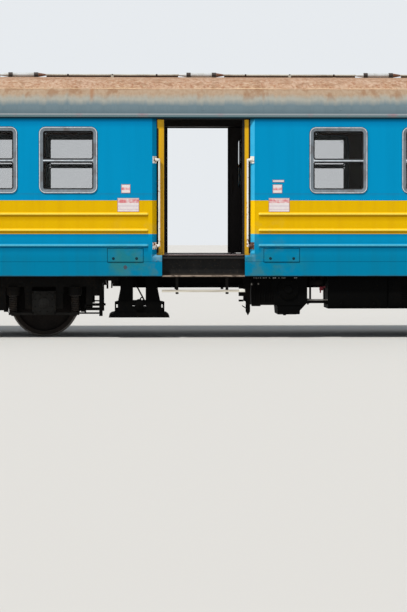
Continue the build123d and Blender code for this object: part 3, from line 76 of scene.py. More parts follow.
def sums(operation, swapped=False):
    """A method of Value that adds one Math node, which works on the value and, where it is given, another."""

    def method(self, other=None):
        made = self.tree.nodes.new("ShaderNodeMath")
        made.operation = operation
        for socket, value in zip(made.inputs, (other, self) if swapped else (self, other)):
            feed(self.tree, socket, value)
        return Value(self.tree, made.outputs[0])

    return method


class Value:
    """A node's output. Arithmetic on it adds Math nodes, so that a mask is written as a sum."""

    def __init__(self, tree, socket):
        self.tree = tree
        self.socket = socket

    __add__ = __radd__ = sums("ADD")
    __sub__ = sums("SUBTRACT")
    __rsub__ = sums("SUBTRACT", swapped=True)
    __mul__ = __rmul__ = sums("MULTIPLY")
    __truediv__ = sums("DIVIDE")
    __gt__ = sums("GREATER_THAN")
    __lt__ = sums("LESS_THAN")
    __pow__ = sums("POWER")
    __abs__ = sums("ABSOLUTE")
    both = sums("MINIMUM")
    either = sums("MAXIMUM")
    sign = sums("SIGN")
    fraction = sums("FRACT")
    to_and_fro = sums("PINGPONG")

    def between(self, low, high):
        return (self > low) * (self < high)

    def ramp(self, low=0.0, high=1.0):
        """0 at low and below, 1 at high and above, straight between."""
        return ((self - low) / (high - low)).either(0.0).both(1.0)

    def every(self, pitch):
        """Distance to the nearest multiple of a pitch."""
        return self.to_and_fro(pitch / 2)


def feed(tree, socket, value):
    """Link a node's output to a socket, or write a plain number or colour there."""
    if isinstance(value, Value):
        tree.links.new(value.socket, socket)
    elif value is not None:
        socket.default_value = value


def light(colour):
    """A colour as seen on screen, 0 to 255, as the light values a shader uses. A node's output stays."""
    if isinstance(colour, Value):
        return colour
    parts = [value / 255 for value in colour]
    return (*[v / 12.92 if v < 0.04045 else ((v + 0.055) / 1.055) ** 2.4 for v in parts], 1.0)


class Finish:
    """A material. node() adds any node, and shade() feeds the surface's own sockets."""

    def __init__(self, name, **sockets):
        self.material = bpy.data.materials.new(name)
        self.material.use_nodes = True
        self.tree = self.material.node_tree
        self.shader = self.tree.nodes["Principled BSDF"]
        self.place = self.node("TexCoord", out="Object")
        spread = self.node("SeparateXYZ", {"Vector": self.place}, out=None)
        self.x, self.y, self.z = (Value(self.tree, out) for out in spread.outputs)
        self.shade(**sockets)

    def node(self, kind, inputs=None, settings=None, out=0):
        made = self.tree.nodes.new("ShaderNode" + kind)
        for key, value in (settings or {}).items():
            setattr(made, key, value)
        for key, value in (inputs or {}).items():
            feed(self.tree, made.inputs[key], value)
        return made if out is None else Value(self.tree, made.outputs[out])

    def noise(self, scale, detail=4.0, stretch=(1, 1, 1), shift=(0, 0, 0)):
        at = self.node("Mapping", {"Vector": self.place, "Scale": stretch, "Location": shift})
        return self.node("TexNoise", {"Vector": at, "Scale": scale, "Detail": detail})

    def mix(self, mask, below, above):
        """Colour below where the mask is 0 and above where it is 1."""
        return self.node("Mix", {0: mask, 6: light(below), 7: light(above)}, {"data_type": "RGBA"}, out=2)

    def lay(self, mask, tone):
        """Lay a tone over the colour so far where the mask is 1."""
        self.colour = self.mix(mask, self.colour, tone)
        self.shade(base_color=self.colour)

    def bump(self, height, strength, distance=0.01):
        return self.node("Bump", {"Height": height, "Strength": strength, "Distance": distance})

    def shade(self, **sockets):
        for name, value in sockets.items():
            feed(self.tree, self.shader.inputs[name.replace("_", " ").title().replace("Ior", "IOR")], value)
        return self

    def on(self, *objects):
        """Put this finish on whole objects, in place of what they had."""
        for obj in objects:
            obj.data.materials.clear()
            obj.data.materials.append(self.material)


studio = Finish("studio_floor_paint", roughness=0.9, specular_ior_level=0.1, base_color=(0.60, 0.59, 0.57, 1))
studio.on(floor)
world = bpy.data.worlds.new("studio_air")
bpy.context.scene.world = world
world.use_nodes = True
air = world.node_tree
lamp = air.nodes["Background"]
lamp.inputs[0].default_value = (0.86, 0.92, 1.0, 1)
lamp.inputs[1].default_value = 0.38
backdrop = air.nodes.new("ShaderNodeBackground")
backdrop.inputs[0].default_value = (0.80, 0.83, 0.86, 1)
ray = air.nodes.new("ShaderNodeLightPath").outputs
shown = Value(air, ray["Is Camera Ray"]).either(Value(air, ray["Is Glossy Ray"]))
shown = shown.either(Value(air, ray["Is Transmission Ray"]))
blend = air.nodes.new("ShaderNodeMixShader")
for socket, source in zip(blend.inputs, (shown.socket, lamp.outputs[0], backdrop.outputs[0])):
    air.links.new(source, socket)
air.links.new(blend.outputs[0], air.nodes["World Output"].inputs[0])

# Side walls: steel sheet with three pressed beads, blue enamel with a yellow band between the beads.
# The paint is brushed on over old coats, dusty low down, greenish and scuffed round the doorways and flaps.
# Light and shade are painted in as well: a highlight on each bead with shadow under it, a lighter right-hand
# jamb at each doorway, shade under the gutter, and near black inside the door pockets and the skirt.
RAIL = 0.028
SIDE = 1.425
DOOR_X = 3.9
BAND_LOW = 1.459 + RAIL
BAND_HIGH = 1.935 + RAIL
SKIRT_SEAM = 1.065 + RAIL
SKIRT_FOOT = 0.860 + RAIL
WALL_HEAD = 3.100 + RAIL
FLAP_X = 1.112
FLAP_Z = 1.184
FLAP_HALF_WIDTH = 0.250
FLAP_HALF_HEIGHT = 0.095
BEADS_FROM_DOOR = 0.785
BEADS_END = 10.465
RUST_SPOT_Z = 0.985 + RAIL
SHEET_WIDTH = 2.1
LINING_Y = 1.3
RIB_HEIGHTS = (1.297, 1.513, 1.742)
GRIME = (52, 66, 62)
side_paint = Finish("side_enamel", specular_ior_level=0.04)
mix, lay = side_paint.mix, side_paint.lay
x, y, z = side_paint.x, side_paint.y, side_paint.z
broad = side_paint.noise(0.55, 3.0)
runs = side_paint.noise(1.0, 5.0, stretch=(7, 7, 0.55))
fine = side_paint.noise(38.0, 5.0)
mottle = side_paint.noise(5.0, 6.0)
blue = mix((runs - 0.42) * 1.2, (0, 145, 197), (0, 132, 180))
blue = mix((broad - 0.45) * 0.9, blue, (4, 152, 202))
low = mix((runs - 0.46) * 1.8, (0, 124, 163), (16, 112, 140))
side_paint.colour = mix(z.ramp(SKIRT_SEAM + 0.38, SKIRT_SEAM + 0.05) * 0.9, blue, low)
# Painted shade, darker blue towards the wall's head under the gutter.
lay(z.ramp(2.99, 3.10) * 0.75, (0, 108, 164))
band = z.between(BAND_LOW, BAND_HIGH)
gold = mix((runs - 0.45) * 1.3, (230, 182, 4), (214, 160, 6))
gold = mix((fine - 0.60) * 1.6, gold, (244, 204, 70))
lay(band, gold)
from_door = abs(abs(x) - DOOR_X)
beaded = (from_door > BEADS_FROM_DOOR) * (abs(x) < BEADS_END) * (abs(y) > SIDE - 0.01)
# Painted highlight along the top of each bead and painted shadow below it, in blue and in the yellow band.
lit, shaded = 0.0, 0.0
for height in RIB_HEIGHTS:
    above = z - (height + RAIL)
    lit = abs(above - 0.002).ramp(0.017, 0.007).either(lit)
    shaded = (above.ramp(-0.110, -0.030) * (above < -0.014)).either(shaded)
lay(shaded * beaded * 0.62, mix(band, (0, 78, 110), (160, 112, 0)))
lit_tone = mix(band, (96, 190, 216), (255, 228, 96))
lay(lit * beaded * (fine * 0.6 + 0.5).both(0.85), lit_tone)
turned_x = x * (y * -1.0).sign()
from_left = abs(turned_x + FLAP_X + DOOR_X).both(abs(turned_x + FLAP_X - DOOR_X))
patch = abs(from_door - FLAP_X).ramp(0.42, 0.10) * abs(z - 1.08).ramp(0.34, 0.08)
patch = (patch * (mottle - 0.44 + from_left.ramp(0.5, 0.2) * 0.12) * 4.4).ramp()
lay(patch * 0.8, (36, 124, 132))
grey = ((side_paint.noise(6.0, 4.0, shift=(3, 1, 2)) - 0.50) * 4.0).both(1.0)
grey = grey * from_door.ramp(1.5, 0.7) * z.ramp(1.75, 1.0)
lay(grey.both(0.5), (70, 120, 122))
spot = from_left ** 2.0 + (z - RUST_SPOT_Z) ** 2.0 + (fine - 0.5) * 0.0010
lay((spot < 0.0008) * 0.65, (88, 44, 50))
foot = z.ramp(SKIRT_FOOT + 0.022, SKIRT_FOOT) * (runs * 1.2)
lay(foot.both(0.6), GRIME)
drip = z.ramp(2.02, 2.066) * (z < 2.067) + z.ramp(1.7, 2.06) * (z < 2.067) * (runs - 0.5)
lay(drip.ramp() * 0.18, GRIME)
chips = ((fine - 0.62) * 12.0 * from_door.ramp(0.80, 0.60) * z.ramp(2.6, 1.1)).ramp(0.25, 0.7)
lay(chips * 0.8, (70, 74, 70))
# Painted light: the slanting right-hand jamb of each doorway is made lighter blue and yellow, as if lit from
# the left.
lit_jamb = turned_x - turned_x.sign() * DOOR_X
lit_jamb = lit_jamb.between(0.655, 0.735) * (abs(y) < SIDE - 0.003) * (z > 1.21)
lay(lit_jamb * (mottle * 0.5 + 0.4), mix(band, (70, 190, 235), (255, 206, 20)))
scuffed = abs(from_door - 0.66).ramp(0.09, 0.03) * z.between(1.06 + RAIL, 1.166 + RAIL) * (abs(y) > 1.38)
lay(scuffed * ((mottle - 0.42) * 5.0).both(0.6), (128, 164, 178))
line = (abs(z - SKIRT_SEAM) < 0.0032).either((x.every(SHEET_WIDTH) < 0.002) * (z < SKIRT_SEAM) * 0.25)
lay(line * 0.55, (0, 62, 88))
out = (abs(from_door - FLAP_X) - FLAP_HALF_WIDTH).either(abs(z - FLAP_Z) - FLAP_HALF_HEIGHT)
lay(out.between(0.0, 0.008) * 0.8, (4, 40, 52))
# Painted shadow of the gutter, a dark blue strip just under the wall's head.
lay(z.ramp(WALL_HEAD - 0.060, WALL_HEAD - 0.006) * 0.9, (0, 58, 74))
lay(abs(y) < LINING_Y, mix((runs - 0.4) * 0.8, (92, 68, 58), (70, 50, 44)))
# Painted shade: near black inside the door pockets and on the inner face of the skirt.
pocket_shade = abs(y).between(1.31, 1.3705).either((abs(y) < 1.38) * (z < 1.13))
lay(pocket_shade, (20, 20, 22))
side_paint.shade(
    roughness=(runs * 0.25 + 0.22 + patch.both(1.0) * 0.25).both(0.85),
    normal=side_paint.bump(broad * 0.6 + fine * 0.05 + line * -0.9, 0.35, 0.012),
)
side_paint.on(NODES["side_wall_near"], NODES["side_wall_far"])

# Access flaps: four small steel flaps in the skirt beside the doorways, painted with the side.
# Each hangs on a hinge rod and is held by two bolts with washers, which have lost their paint.
side_paint.on(NODES["access_flaps"])


def clear():
    bpy.ops.object.select_all(action="DESELECT")


def pick(obj):
    """Select one object alone and make it the active one."""
    clear()
    obj.select_set(True)
    bpy.context.view_layer.objects.active = obj


def close():
    """Turn every face outwards and leave edit mode."""
    bpy.ops.mesh.select_all(action="SELECT")
    bpy.ops.mesh.normals_make_consistent(inside=False)
    bpy.ops.object.mode_set(mode="OBJECT")


AXES = {"x": (0, math.radians(90), 0), "y": (math.radians(-90), 0, 0), "z": (0, 0, 0)}


def turned(axis, centre, steps, sides=24):
    """A turned piece along an axis. Each step is a distance along it and the radius there."""
    clear()
    first, second = steps[0], steps[1]
    bpy.ops.mesh.primitive_cone_add(
        vertices=sides, radius1=first[1], radius2=second[1], depth=second[0] - first[0],
        location=(0, 0, (first[0] + second[0]) / 2), end_fill_type="NGON",
    )
    made = bpy.context.object
    bpy.ops.object.transform_apply(location=True)
    bpy.ops.object.mode_set(mode="EDIT")
    bpy.ops.mesh.select_mode(type="FACE")
    bpy.ops.mesh.select_all(action="DESELECT")
    bpy.ops.object.mode_set(mode="OBJECT")
    for face in made.data.polygons:
        on_top = face.normal.z > 0.9 and abs(face.center.z - second[0]) < 1e-5
        face.select = on_top and len(face.vertices) > 4
    bpy.ops.object.mode_set(mode="EDIT")
    height, radius = second
    for next_height, next_radius in steps[2:]:
        bpy.ops.mesh.extrude_region_move(TRANSFORM_OT_translate={"value": (0, 0, next_height - height)})
        ratio = max(next_radius, 1e-4) / radius
        bpy.ops.transform.resize(value=(ratio, ratio, 1), center_override=(0, 0, next_height))
        height, radius = next_height, max(next_radius, 1e-4)
    close()
    made.rotation_euler = AXES[axis]
    made.location = centre
    bpy.ops.object.transform_apply(location=True, rotation=True)
    return made


def rod(axis, centre, low, high, radius, sides=6):
    """A plain round piece or a hexagonal bolt head, from low to high along an axis."""
    return turned(axis, centre, [(low, radius), (high, radius)], sides)


def copies(pattern, moves):
    """The pattern again at each move, a vector or a matrix, each with its own mesh. The first stays."""
    made = []
    for move in moves:
        copy = pattern.copy()
        copy.data = pattern.data.copy()
        copy.data.transform(move if isinstance(move, Matrix) else Matrix.Translation(move))
        bpy.context.collection.objects.link(copy)
        made.append(copy)
    return made


def gone(*objects):
    for obj in objects:
        bpy.data.objects.remove(obj, do_unlink=True)


def merged(objects):
    """One object of several."""
    pick(objects[0])
    for obj in objects:
        obj.select_set(True)
    if len(objects) > 1:
        bpy.ops.object.join()
    return bpy.context.object


def joined(name, objects, finish, body="coach", angle=35):
    """Join pieces into one, name it, paint it and let it ride on a body."""
    whole = merged(objects)
    whole.name = name
    bpy.ops.object.shade_smooth_by_angle(angle=math.radians(angle))
    finish.on(whole)
    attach(whole, body)
    return whole


ROUND = Matrix.Rotation(math.pi, 4, "Z")


def on_both_sides(pieces, xs):
    """Near-side pieces drawn round X = 0, put at places along the coach and turned to its far side."""
    placed = []
    for piece in pieces:
        near = copies(piece, [Vector((x, 0, 0)) for x in xs])
        placed += near
        for copy in near:
            placed += copies(copy, [ROUND])
    gone(*pieces)
    return placed


def at_doorways(pieces):
    return on_both_sides(pieces, (-DOOR_X, DOOR_X))


def grained(
    name, scale, detail, tones, shift=0.4, gain=2.0, rough=None, relief=None, stretch=(1, 1, 1), **sockets
):
    """A finish of two tones laid by one noise, which can also vary its roughness and relief."""
    finish = Finish(name, **sockets)
    finish.grain = finish.noise(scale, detail, stretch)
    finish.shade(base_color=finish.mix((finish.grain - shift) * gain, *tones))
    if rough:
        finish.shade(roughness=finish.grain * rough[0] + rough[1])
    if relief:
        finish.shade(normal=finish.bump(finish.grain, *relief))
    return finish


BOLT_Z = 1.138
HINGE_Z = 1.285
bolt_steel = grained(
    "worn_bolt_steel", 60.0, 4.0, ((44, 42, 40), (92, 74, 60)),
    rough=(0.4, 0.4), metallic=0.4, specular_ior_level=0.3,
)
bolt_paint = grained(
    "flap_bolt_paint", 50.0, 4.0, ((10, 44, 56), (34, 66, 72)), roughness=0.6, specular_ior_level=0.1,
)
flap_bits = []
for x in (-1.282, -0.952, 0.952, 1.282):
    at = (x, -SIDE - 0.008, BOLT_Z)
    flap_bits.append(rod("y", at, -0.0012, 0.0, 0.020, 20))
    flap_bits.append(turned("y", at, [(-0.0065, 0.008), (-0.005, 0.0125), (0.0, 0.0125)], 6))
joined("flap_bolts", at_doorways(flap_bits), bolt_paint)
flap_rods = []
for middle in (-FLAP_X, FLAP_X):
    flap_rods.append(rod("x", (middle, -SIDE - 0.004, HINGE_Z), -0.25, 0.25, 0.0045, 12))
    for knuckle in (-0.2, 0.0, 0.2):
        flap_rods.append(rod("x", (middle + knuckle, -SIDE - 0.004, HINGE_Z), -0.03, 0.03, 0.0075, 12))
joined("flap_hinges", at_doorways(flap_rods), side_paint)

# Signs: two small plates, two large ones and a strip at each doorway, all blank, screwed to the wall.
# White enamel, yellowed and stained pink, with a thin dulled border.
STAINS = (  # foot and head of each stained band over the rail, its depth and its colour
    (1.900, 1.952, None, (214, 92, 102)),
    (2.080, 2.118, None, (214, 92, 102)),
    (1.846, 1.866, 0.3, (178, 150, 178)),
    (1.800, 1.816, 0.3, (178, 150, 178)),
)
plate_white = Finish("sign_enamel", specular_ior_level=0.35, roughness=0.4)
wear = plate_white.noise(24.0, 6.0)
stained = plate_white.mix((wear - 0.45) * 1.4, (234, 226, 226), (220, 196, 194))
for foot, head, depth, tone in STAINS:
    depth = depth or ((wear - 0.25) * 2.4).both(0.85)
    stained = plate_white.mix(plate_white.z.between(foot + RAIL, head + RAIL) * depth, stained, tone)
plate_white.shade(base_color=stained, normal=plate_white.bump(wear, 0.1, 0.002))


def edit():
    """Enter edit mode with everything selected."""
    bpy.ops.object.mode_set(mode="EDIT")
    bpy.ops.mesh.select_all(action="SELECT")


def slab(x0, x1, y0, y1, z0, z1, soft=0.0, segments=2):
    """A block between two corners, with softened edges."""
    clear()
    middle = ((x0 + x1) / 2, (y0 + y1) / 2, (z0 + z1) / 2)
    size = (abs(x1 - x0), abs(y1 - y0), abs(z1 - z0))
    bpy.ops.mesh.primitive_cube_add(size=1, location=middle, scale=size)
    bpy.ops.object.transform_apply(location=True, rotation=True, scale=True)
    if soft:
        edit()
        bpy.ops.mesh.bevel(offset=soft, segments=segments, affect="EDGES")
        bpy.ops.object.mode_set(mode="OBJECT")
    return bpy.context.object


def moved(obj, *move):
    obj.data.transform(Matrix.Translation(move))
    return obj


def rounded(width, height, corner, segments):
    """A rectangle with round corners, upright in X and Z round the origin, left in edit mode."""
    clear()
    bpy.ops.mesh.primitive_plane_add(size=1, rotation=(math.radians(90), 0, 0))
    made = bpy.context.object
    made.scale = (width, height, 1)
    bpy.ops.object.transform_apply(rotation=True, scale=True)
    edit()
    bpy.ops.mesh.bevel(offset=corner, segments=segments, affect="VERTICES")
    return made


def hoop(width, foot, head, corner, bar, y, depth, segments=6, slope=0.0):
    """A closed rounded-rectangle ring, upright in X and Z, with its middle at X = 0.
    Its front slopes inwards by the slope, from the outer edge to the inner one."""
    made = rounded(width, head - foot, corner, segments)
    bpy.ops.mesh.select_all(action="SELECT")
    bpy.ops.mesh.inset(thickness=bar, depth=-slope)
    bpy.ops.mesh.delete(type="FACE")
    bpy.ops.mesh.select_all(action="SELECT")
    bpy.ops.mesh.extrude_region_move(TRANSFORM_OT_translate={"value": (0, depth, 0)})
    close()
    return moved(made, 0, y, (foot + head) / 2)


SIGNS = (  # left, right, foot and head of a plate, from the doorway's centre and the rail
    (-1.170, -1.039, 2.038, 2.163),
    (0.983, 1.118, 2.038, 2.163),
    (-1.224, -0.916, 1.772, 1.970),
    (0.926, 1.224, 1.772, 1.970),
    (0.981, 1.146, 2.194, 2.228),
)
plates = []
borders = []
for left, right, foot, head in SIGNS:
    foot, head = foot + RAIL, head + RAIL
    plates.append(slab(left, right, -SIDE - 0.0022, -SIDE, foot, head, 0.0006, 1))
    ring = hoop(right - left, foot, head, 0.004, 0.006, -SIDE - 0.0028, 0.002, 1)
    borders.append(moved(ring, (left + right) / 2, 0, 0))
joined("sign_plates", at_doorways(plates), plate_white)
border_pink = grained(
    "sign_border", 30.0, 4.0, ((168, 112, 104), (196, 156, 150)), specular_ior_level=0.3, roughness=0.5,
)
joined("sign_borders", at_doorways(borders), border_pink)

# Roof: steel sheets, painted grey long ago. The crown has rusted through its paint to orange and tan,
# which fades over a dusty band to blue-grey at the gutter. Straps cover its sheet joints.
SHEET_PITCH = 1.95
LAP_Z = 3.560
STREAK_X = -5.480
BEAD_FOOT = 3.171
BEAD_HEAD = 3.194
GUTTER_FOOT = 3.1445
roof = Finish("weathered_roof", specular_ior_level=0.15)
mix, lay = roof.mix, roof.lay
x, z = roof.x, roof.z
blotch = roof.noise(2.6, 8.0, stretch=(1, 0.3, 1.8))
small = roof.noise(15.0, 8.0, stretch=(1.6, 0.35, 1.3))
runs = roof.noise(1.0, 6.0, stretch=(14, 1.2, 0.5))
flecks = roof.noise(26.0, 6.0, stretch=(0.8, 0.35, 1.4))
edge = z + (blotch - 0.5) * 0.05 + (runs - 0.5) * 0.10
grey = mix((runs - 0.42) * 1.6, (107, 125, 133), (94, 113, 121))
dust = mix((small - 0.4) * 1.6, (158, 157, 148), (146, 146, 138))
tan = mix((small - 0.4) * 2.4, (168, 146, 124), (152, 126, 101))
rusty = mix((blotch - 0.40) * 3.6, (184, 154, 131), (167, 132, 104))
rusty = mix(((small - 0.50) * 5.0).both(0.7), rusty, (158, 112, 82))
rusty = mix(((roof.noise(7.0, 7.0, shift=(7, 2, 1)) - 0.56) * 9.0).both(0.7), rusty, (190, 166, 142))
rusty = mix(((flecks - 0.55) * 7.0).both(0.5), rusty, (140, 98, 74))
rusty = mix(((0.44 - flecks) * 7.0).both(0.5), rusty, (204, 178, 154))
roof.colour = mix(edge.ramp(3.310, 3.390), grey, dust)
lay(edge.ramp(3.410, 3.480), tan)
lay((edge * 0.3 + z * 0.7).ramp(3.540, 3.568), rusty)
stain = (roof.noise(1.0, 6.0, stretch=(5, 5, 0.8), shift=(1, 5, 0)) - 0.55) * 8.0
lay(stain.both(0.6) * edge.ramp(3.36, 3.47), (140, 104, 76))
top = mix((blotch - 0.45) * 5.0, (148, 112, 86), (164, 138, 116))
lay(z.ramp(3.68, 3.80) * 0.6, top)
below_seam = z.ramp(3.520, 3.556) * (z < 3.556) * ((blotch - 0.44) * 5.0).ramp()
lay(below_seam * 0.5, (122, 88, 62))
lap_seam = abs(z + (small - 0.5) * 0.03 - LAP_Z) < 0.005
lay(lap_seam * ((blotch - 0.3) * 3.0).ramp() * 0.8, (222, 192, 156))
streak = (abs(x - STREAK_X) - (runs - 0.5) * 0.06).ramp(0.045, 0.010) * z.ramp(3.350, 3.450) * (z < 3.556)
lay(streak * 0.6, (150, 104, 70))
lay(z.ramp(3.260, 3.200) * 0.5, (92, 112, 122))
rim = ((roof.noise(2.0, 4.0, stretch=(1, 0, 0)) - 0.56) * 9.0).ramp()
# The gutter's top bead is pale grey, a painted highlight on the lip, with patches of pinkish rust.
lay(z.between(BEAD_FOOT, BEAD_HEAD), mix(rim, (156, 163, 167), (166, 140, 148)))
lay(abs(roof.y) > SIDE + 0.001, mix(rim, (98, 122, 128), (120, 118, 122)))
# Painted shadow under the gutter, dark blue below its foot.
lay((z < GUTTER_FOOT) * 0.95, (6, 52, 64))
sheet_joint = x.every(SHEET_PITCH) < 0.003
lay((abs(roof.y) < 1.37) * (z < 3.3), (60, 58, 54))
roof.shade(
    roughness=(small * 0.3 + 0.55).both(0.95),
    normal=roof.bump(small * 0.35 + blotch * 0.5 + sheet_joint * 0.5 + lap_seam * 0.4, 0.4, 0.012),
)
roof.on(NODES["roof_crown"], NODES["roof_sides"])

# Roof straps: a raised steel strap covers each butt joint of the roof sheets, from gutter to gutter.
# All are riveted or welded and weathered as the roof.
CROWN_RADIUS = 4.0
CROWN = 3.765 + RAIL
ROOF_FOOT = 3.150 + RAIL
SHOULDER_RADIUS = 0.4876
STRAP_HALF = 0.020


def roof_line(lift, steps):
    """Points on the roof's section, from the near gutter over the crown to the far one."""
    lean = math.asin((SIDE - SHOULDER_RADIUS) / (CROWN_RADIUS - SHOULDER_RADIUS))
    shoulder, crown = SHOULDER_RADIUS + lift, CROWN_RADIUS + lift
    points = []
    for i in range(1, steps + 1):
        turn = math.pi / 2 - (math.pi / 2 - lean) * i / steps
        y = SIDE - SHOULDER_RADIUS + shoulder * math.sin(turn)
        points.append((y, ROOF_FOOT + shoulder * math.cos(turn)))
    for i in range(1, steps):
        turn = lean * (1 - i / steps)
        points.append((crown * math.sin(turn), CROWN - CROWN_RADIUS + crown * math.cos(turn)))
    points.append((0.0, CROWN + lift))
    return [(-y, z) for y, z in points] + [(y, z) for y, z in reversed(points[:-1])]


def finish_with(obj, kind, **settings):
    """Add a modifier to one object and apply it."""
    pick(obj)
    modifier = obj.modifiers.new(kind.title(), kind)
    for key, value in settings.items():
        setattr(modifier, key, value)
    bpy.ops.object.modifier_apply(modifier=modifier.name)
    return obj


def ribbon(points, x0, x1, thick):
    """A strip that follows a line in Y and Z, from x0 to x1, thickened both ways."""
    clear()
    bpy.ops.mesh.primitive_plane_add(size=1, location=(0, 0, 0))
    made = bpy.context.object
    bpy.ops.object.mode_set(mode="EDIT")
    bpy.ops.mesh.select_mode(type="VERT")
    bpy.ops.mesh.delete(type="ONLY_FACE")
    bpy.ops.mesh.select_all(action="SELECT")
    bpy.ops.mesh.merge(type="CENTER")
    bpy.ops.transform.translate(value=(x0, *points[0]))
    for (y0, z0), (y1, z1) in zip(points, points[1:]):
        bpy.ops.mesh.extrude_region_move(TRANSFORM_OT_translate={"value": (0, y1 - y0, z1 - z0)})
    bpy.ops.mesh.select_all(action="SELECT")
    bpy.ops.mesh.extrude_region_move(TRANSFORM_OT_translate={"value": (x1 - x0, 0, 0)})
    close()
    return finish_with(made, "SOLIDIFY", thickness=thick, offset=0.0)


strap = ribbon(roof_line(0.001, 10), -STRAP_HALF, STRAP_HALF, 0.003)
straps = copies(strap, [Vector((SHEET_PITCH * i, 0, 0)) for i in range(-5, 6)])
gone(strap)
joined("roof_straps", straps, roof)

# Windows: an anodised aluminium frame in each cut-out, with a fixed lower pane and a drop-down upper vent.
# Black rubber seals the frame to the wall and each pane to the frame. The vent has a small knob.
WINDOW_WIDTH = 0.820
WINDOW_FOOT = 2.038 + RAIL
WINDOW_HEAD = 2.974 + RAIL
TRANSOM = 2.499 + RAIL
END_PLACES = [DOOR_X + 1.92 + 1.132 * i for i in range(4)]
MIDDLE_PLACES = [-1.98 + 1.32 * i for i in range(4)]
WINDOW_X = sorted([-x for x in END_PLACES] + MIDDLE_PLACES + END_PLACES)
alloy = Finish("anodised_frame", metallic=0.75, specular_ior_level=0.5)
scuff = alloy.noise(30.0, 5.0, stretch=(1, 1, 0.3))
spots = alloy.noise(6.0, 5.0)
# Painted shade in the window reveal: the frame's inner faces are darkened.
reveal_shade = abs(alloy.y) < SIDE - 0.012
metal = alloy.mix((scuff - 0.4) * 2.0, (132, 141, 148), (102, 108, 116))
metal = alloy.mix(((spots - 0.52) * 5.0).both(0.6), metal, (104, 98, 98))
alloy.shade(
    base_color=alloy.mix(reveal_shade * 0.75, metal, (44, 46, 48)),
    roughness=scuff * 0.3 + 0.28,
    normal=alloy.bump(scuff, 0.12, 0.003),
)
alloy.on(NODES["window_frames"])
rubber = grained(
    "black_rubber", 45.0, 4.0, ((24, 24, 25), (48, 46, 43)), 0.45,
    rough=(0.2, 0.6), relief=(0.2, 0.002), specular_ior_level=0.25,
)
polished = grained(
    "polished_bead", 22.0, 5.0, ((222, 230, 236), (150, 152, 158)), 0.45, 2.6,
    rough=(0.3, 0.2), metallic=0.5, specular_ior_level=0.5,
)


def at_windows(pieces):
    return on_both_sides(pieces, WINDOW_X)


def around(grow, corner, bar, y, depth, slope=0.0):
    """A ring along the window's outline, larger than it all round by so much."""
    foot, head = WINDOW_FOOT - grow, WINDOW_HEAD + grow
    return hoop(WINDOW_WIDTH + 2 * grow, foot, head, corner, bar, y - SIDE, depth, slope=slope)


joined("window_seals", at_windows([around(0.006, 0.096, 0.010, -0.0045, 0.006)]), rubber)
cover = around(-0.010, 0.080, 0.036, -0.0135, 0.004, slope=0.0075)
joined("frame_slopes", at_windows([cover]), alloy)
beads = [
    around(-0.001, 0.089, 0.010, -0.014, 0.009),
    slab(-0.356, 0.356, -SIDE - 0.0095, -SIDE - 0.005, TRANSOM - 0.007, TRANSOM + 0.007, 0.002),
]
joined("frame_beads", at_windows(beads), polished)
pane_seals = [around(-0.026, 0.064, 0.004, -0.0085, 0.003)]
for foot, head in ((WINDOW_FOOT + 0.053, TRANSOM - 0.014), (TRANSOM + 0.014, WINDOW_HEAD - 0.053)):
    pane_seals.append(hoop(0.714, foot, head, 0.031, 0.014, -SIDE - 0.0065, 0.003, slope=0.0185))
    pane_seals.append(hoop(0.690, foot + 0.012, head - 0.012, 0.024, 0.006, -SIDE + 0.012, 0.012))
joined("pane_seals", at_windows(pane_seals), rubber)
knob_steps = [(-0.014, 0.006), (-0.010, 0.009), (-0.004, 0.009), (0.0, 0.006)]
knob = turned("y", (-0.318, -SIDE + 0.008, 2.878 + RAIL), knob_steps, 16)
joined("vent_knobs", at_windows([knob]), alloy)
glass = grained(
    "window_glass", 1.4, 5.0, ((20, 24, 24), (58, 64, 60)),
    rough=(0.25, 0.0), stretch=(1, 1, 0.4), specular_ior_level=0.5, alpha=0.14,
)
glass.on(NODES["window_glass"])

# Door leaves: pressed steel leaves that slide in the wall's pockets, yellow outside and brown inside.
# Each has a rounded window in rubber, a rubber nose on its leading edge, a grip and two guide shoes.
DOOR_FACE = 1.3635
DOOR_BACK = 1.3215
PANE_FROM_NOSE = 0.356
GRIP_FROM_NOSE = 0.075
NOSE_STRIP = {1: 0.005, -1: 0.030}


def leaf_enamel(name, low, high, side):
    paint = Finish(name, specular_ior_level=0.25)
    mix, x, z = paint.mix, paint.x, paint.z
    runs = paint.noise(1.0, 5.0, stretch=(12, 12, 0.6))
    fine = paint.noise(30.0, 5.0)
    gold = mix((runs - 0.42) * 1.8, (226, 172, 6), (196, 144, 14))
    scratch = ((fine - 0.62) * 9.0 * z.ramp(2.4, 1.2)).ramp(0.0, 0.5)
    gold = mix(scratch * 0.6, gold, (120, 84, 30))
    gold = mix(z.ramp(1.45, 1.17) * runs, gold, (104, 84, 44))
    rim = x.ramp(low.x + 0.05, low.x).either(x.ramp(high.x - 0.05, high.x))
    gold = mix(rim * runs * 0.6, gold, (120, 96, 40))
    brown = mix((runs - 0.4) * 2.0, (34, 26, 24), (48, 40, 36))
    return paint.shade(
        base_color=mix(paint.y * side > DOOR_FACE - 0.006, brown, gold),
        roughness=runs * 0.3 + 0.3,
        normal=paint.bump(runs * 0.5 + fine * 0.1, 0.25, 0.006),
    )


def pane(width, height):
    """A sheet of glass with round corners, upright in X and Z round the origin."""
    made = rounded(width, height, 0.088, 6)
    bpy.ops.object.mode_set(mode="OBJECT")
    return finish_with(made, "SOLIDIFY", thickness=0.006, offset=0.0)


def slabs(rows, at=(0, 0, 0), flip=1):
    """Blocks from a table of corners and softening, moved to a place. A flip of -1 mirrors them in X."""
    made = []
    for x0, x1, y0, y1, z0, z1, *soft in rows:
        x_ends = (at[0] + flip * x0, at[0] + flip * x1)
        made.append(slab(*x_ends, at[1] + y0, at[1] + y1, at[2] + z0, at[2] + z1, *soft))
    return made


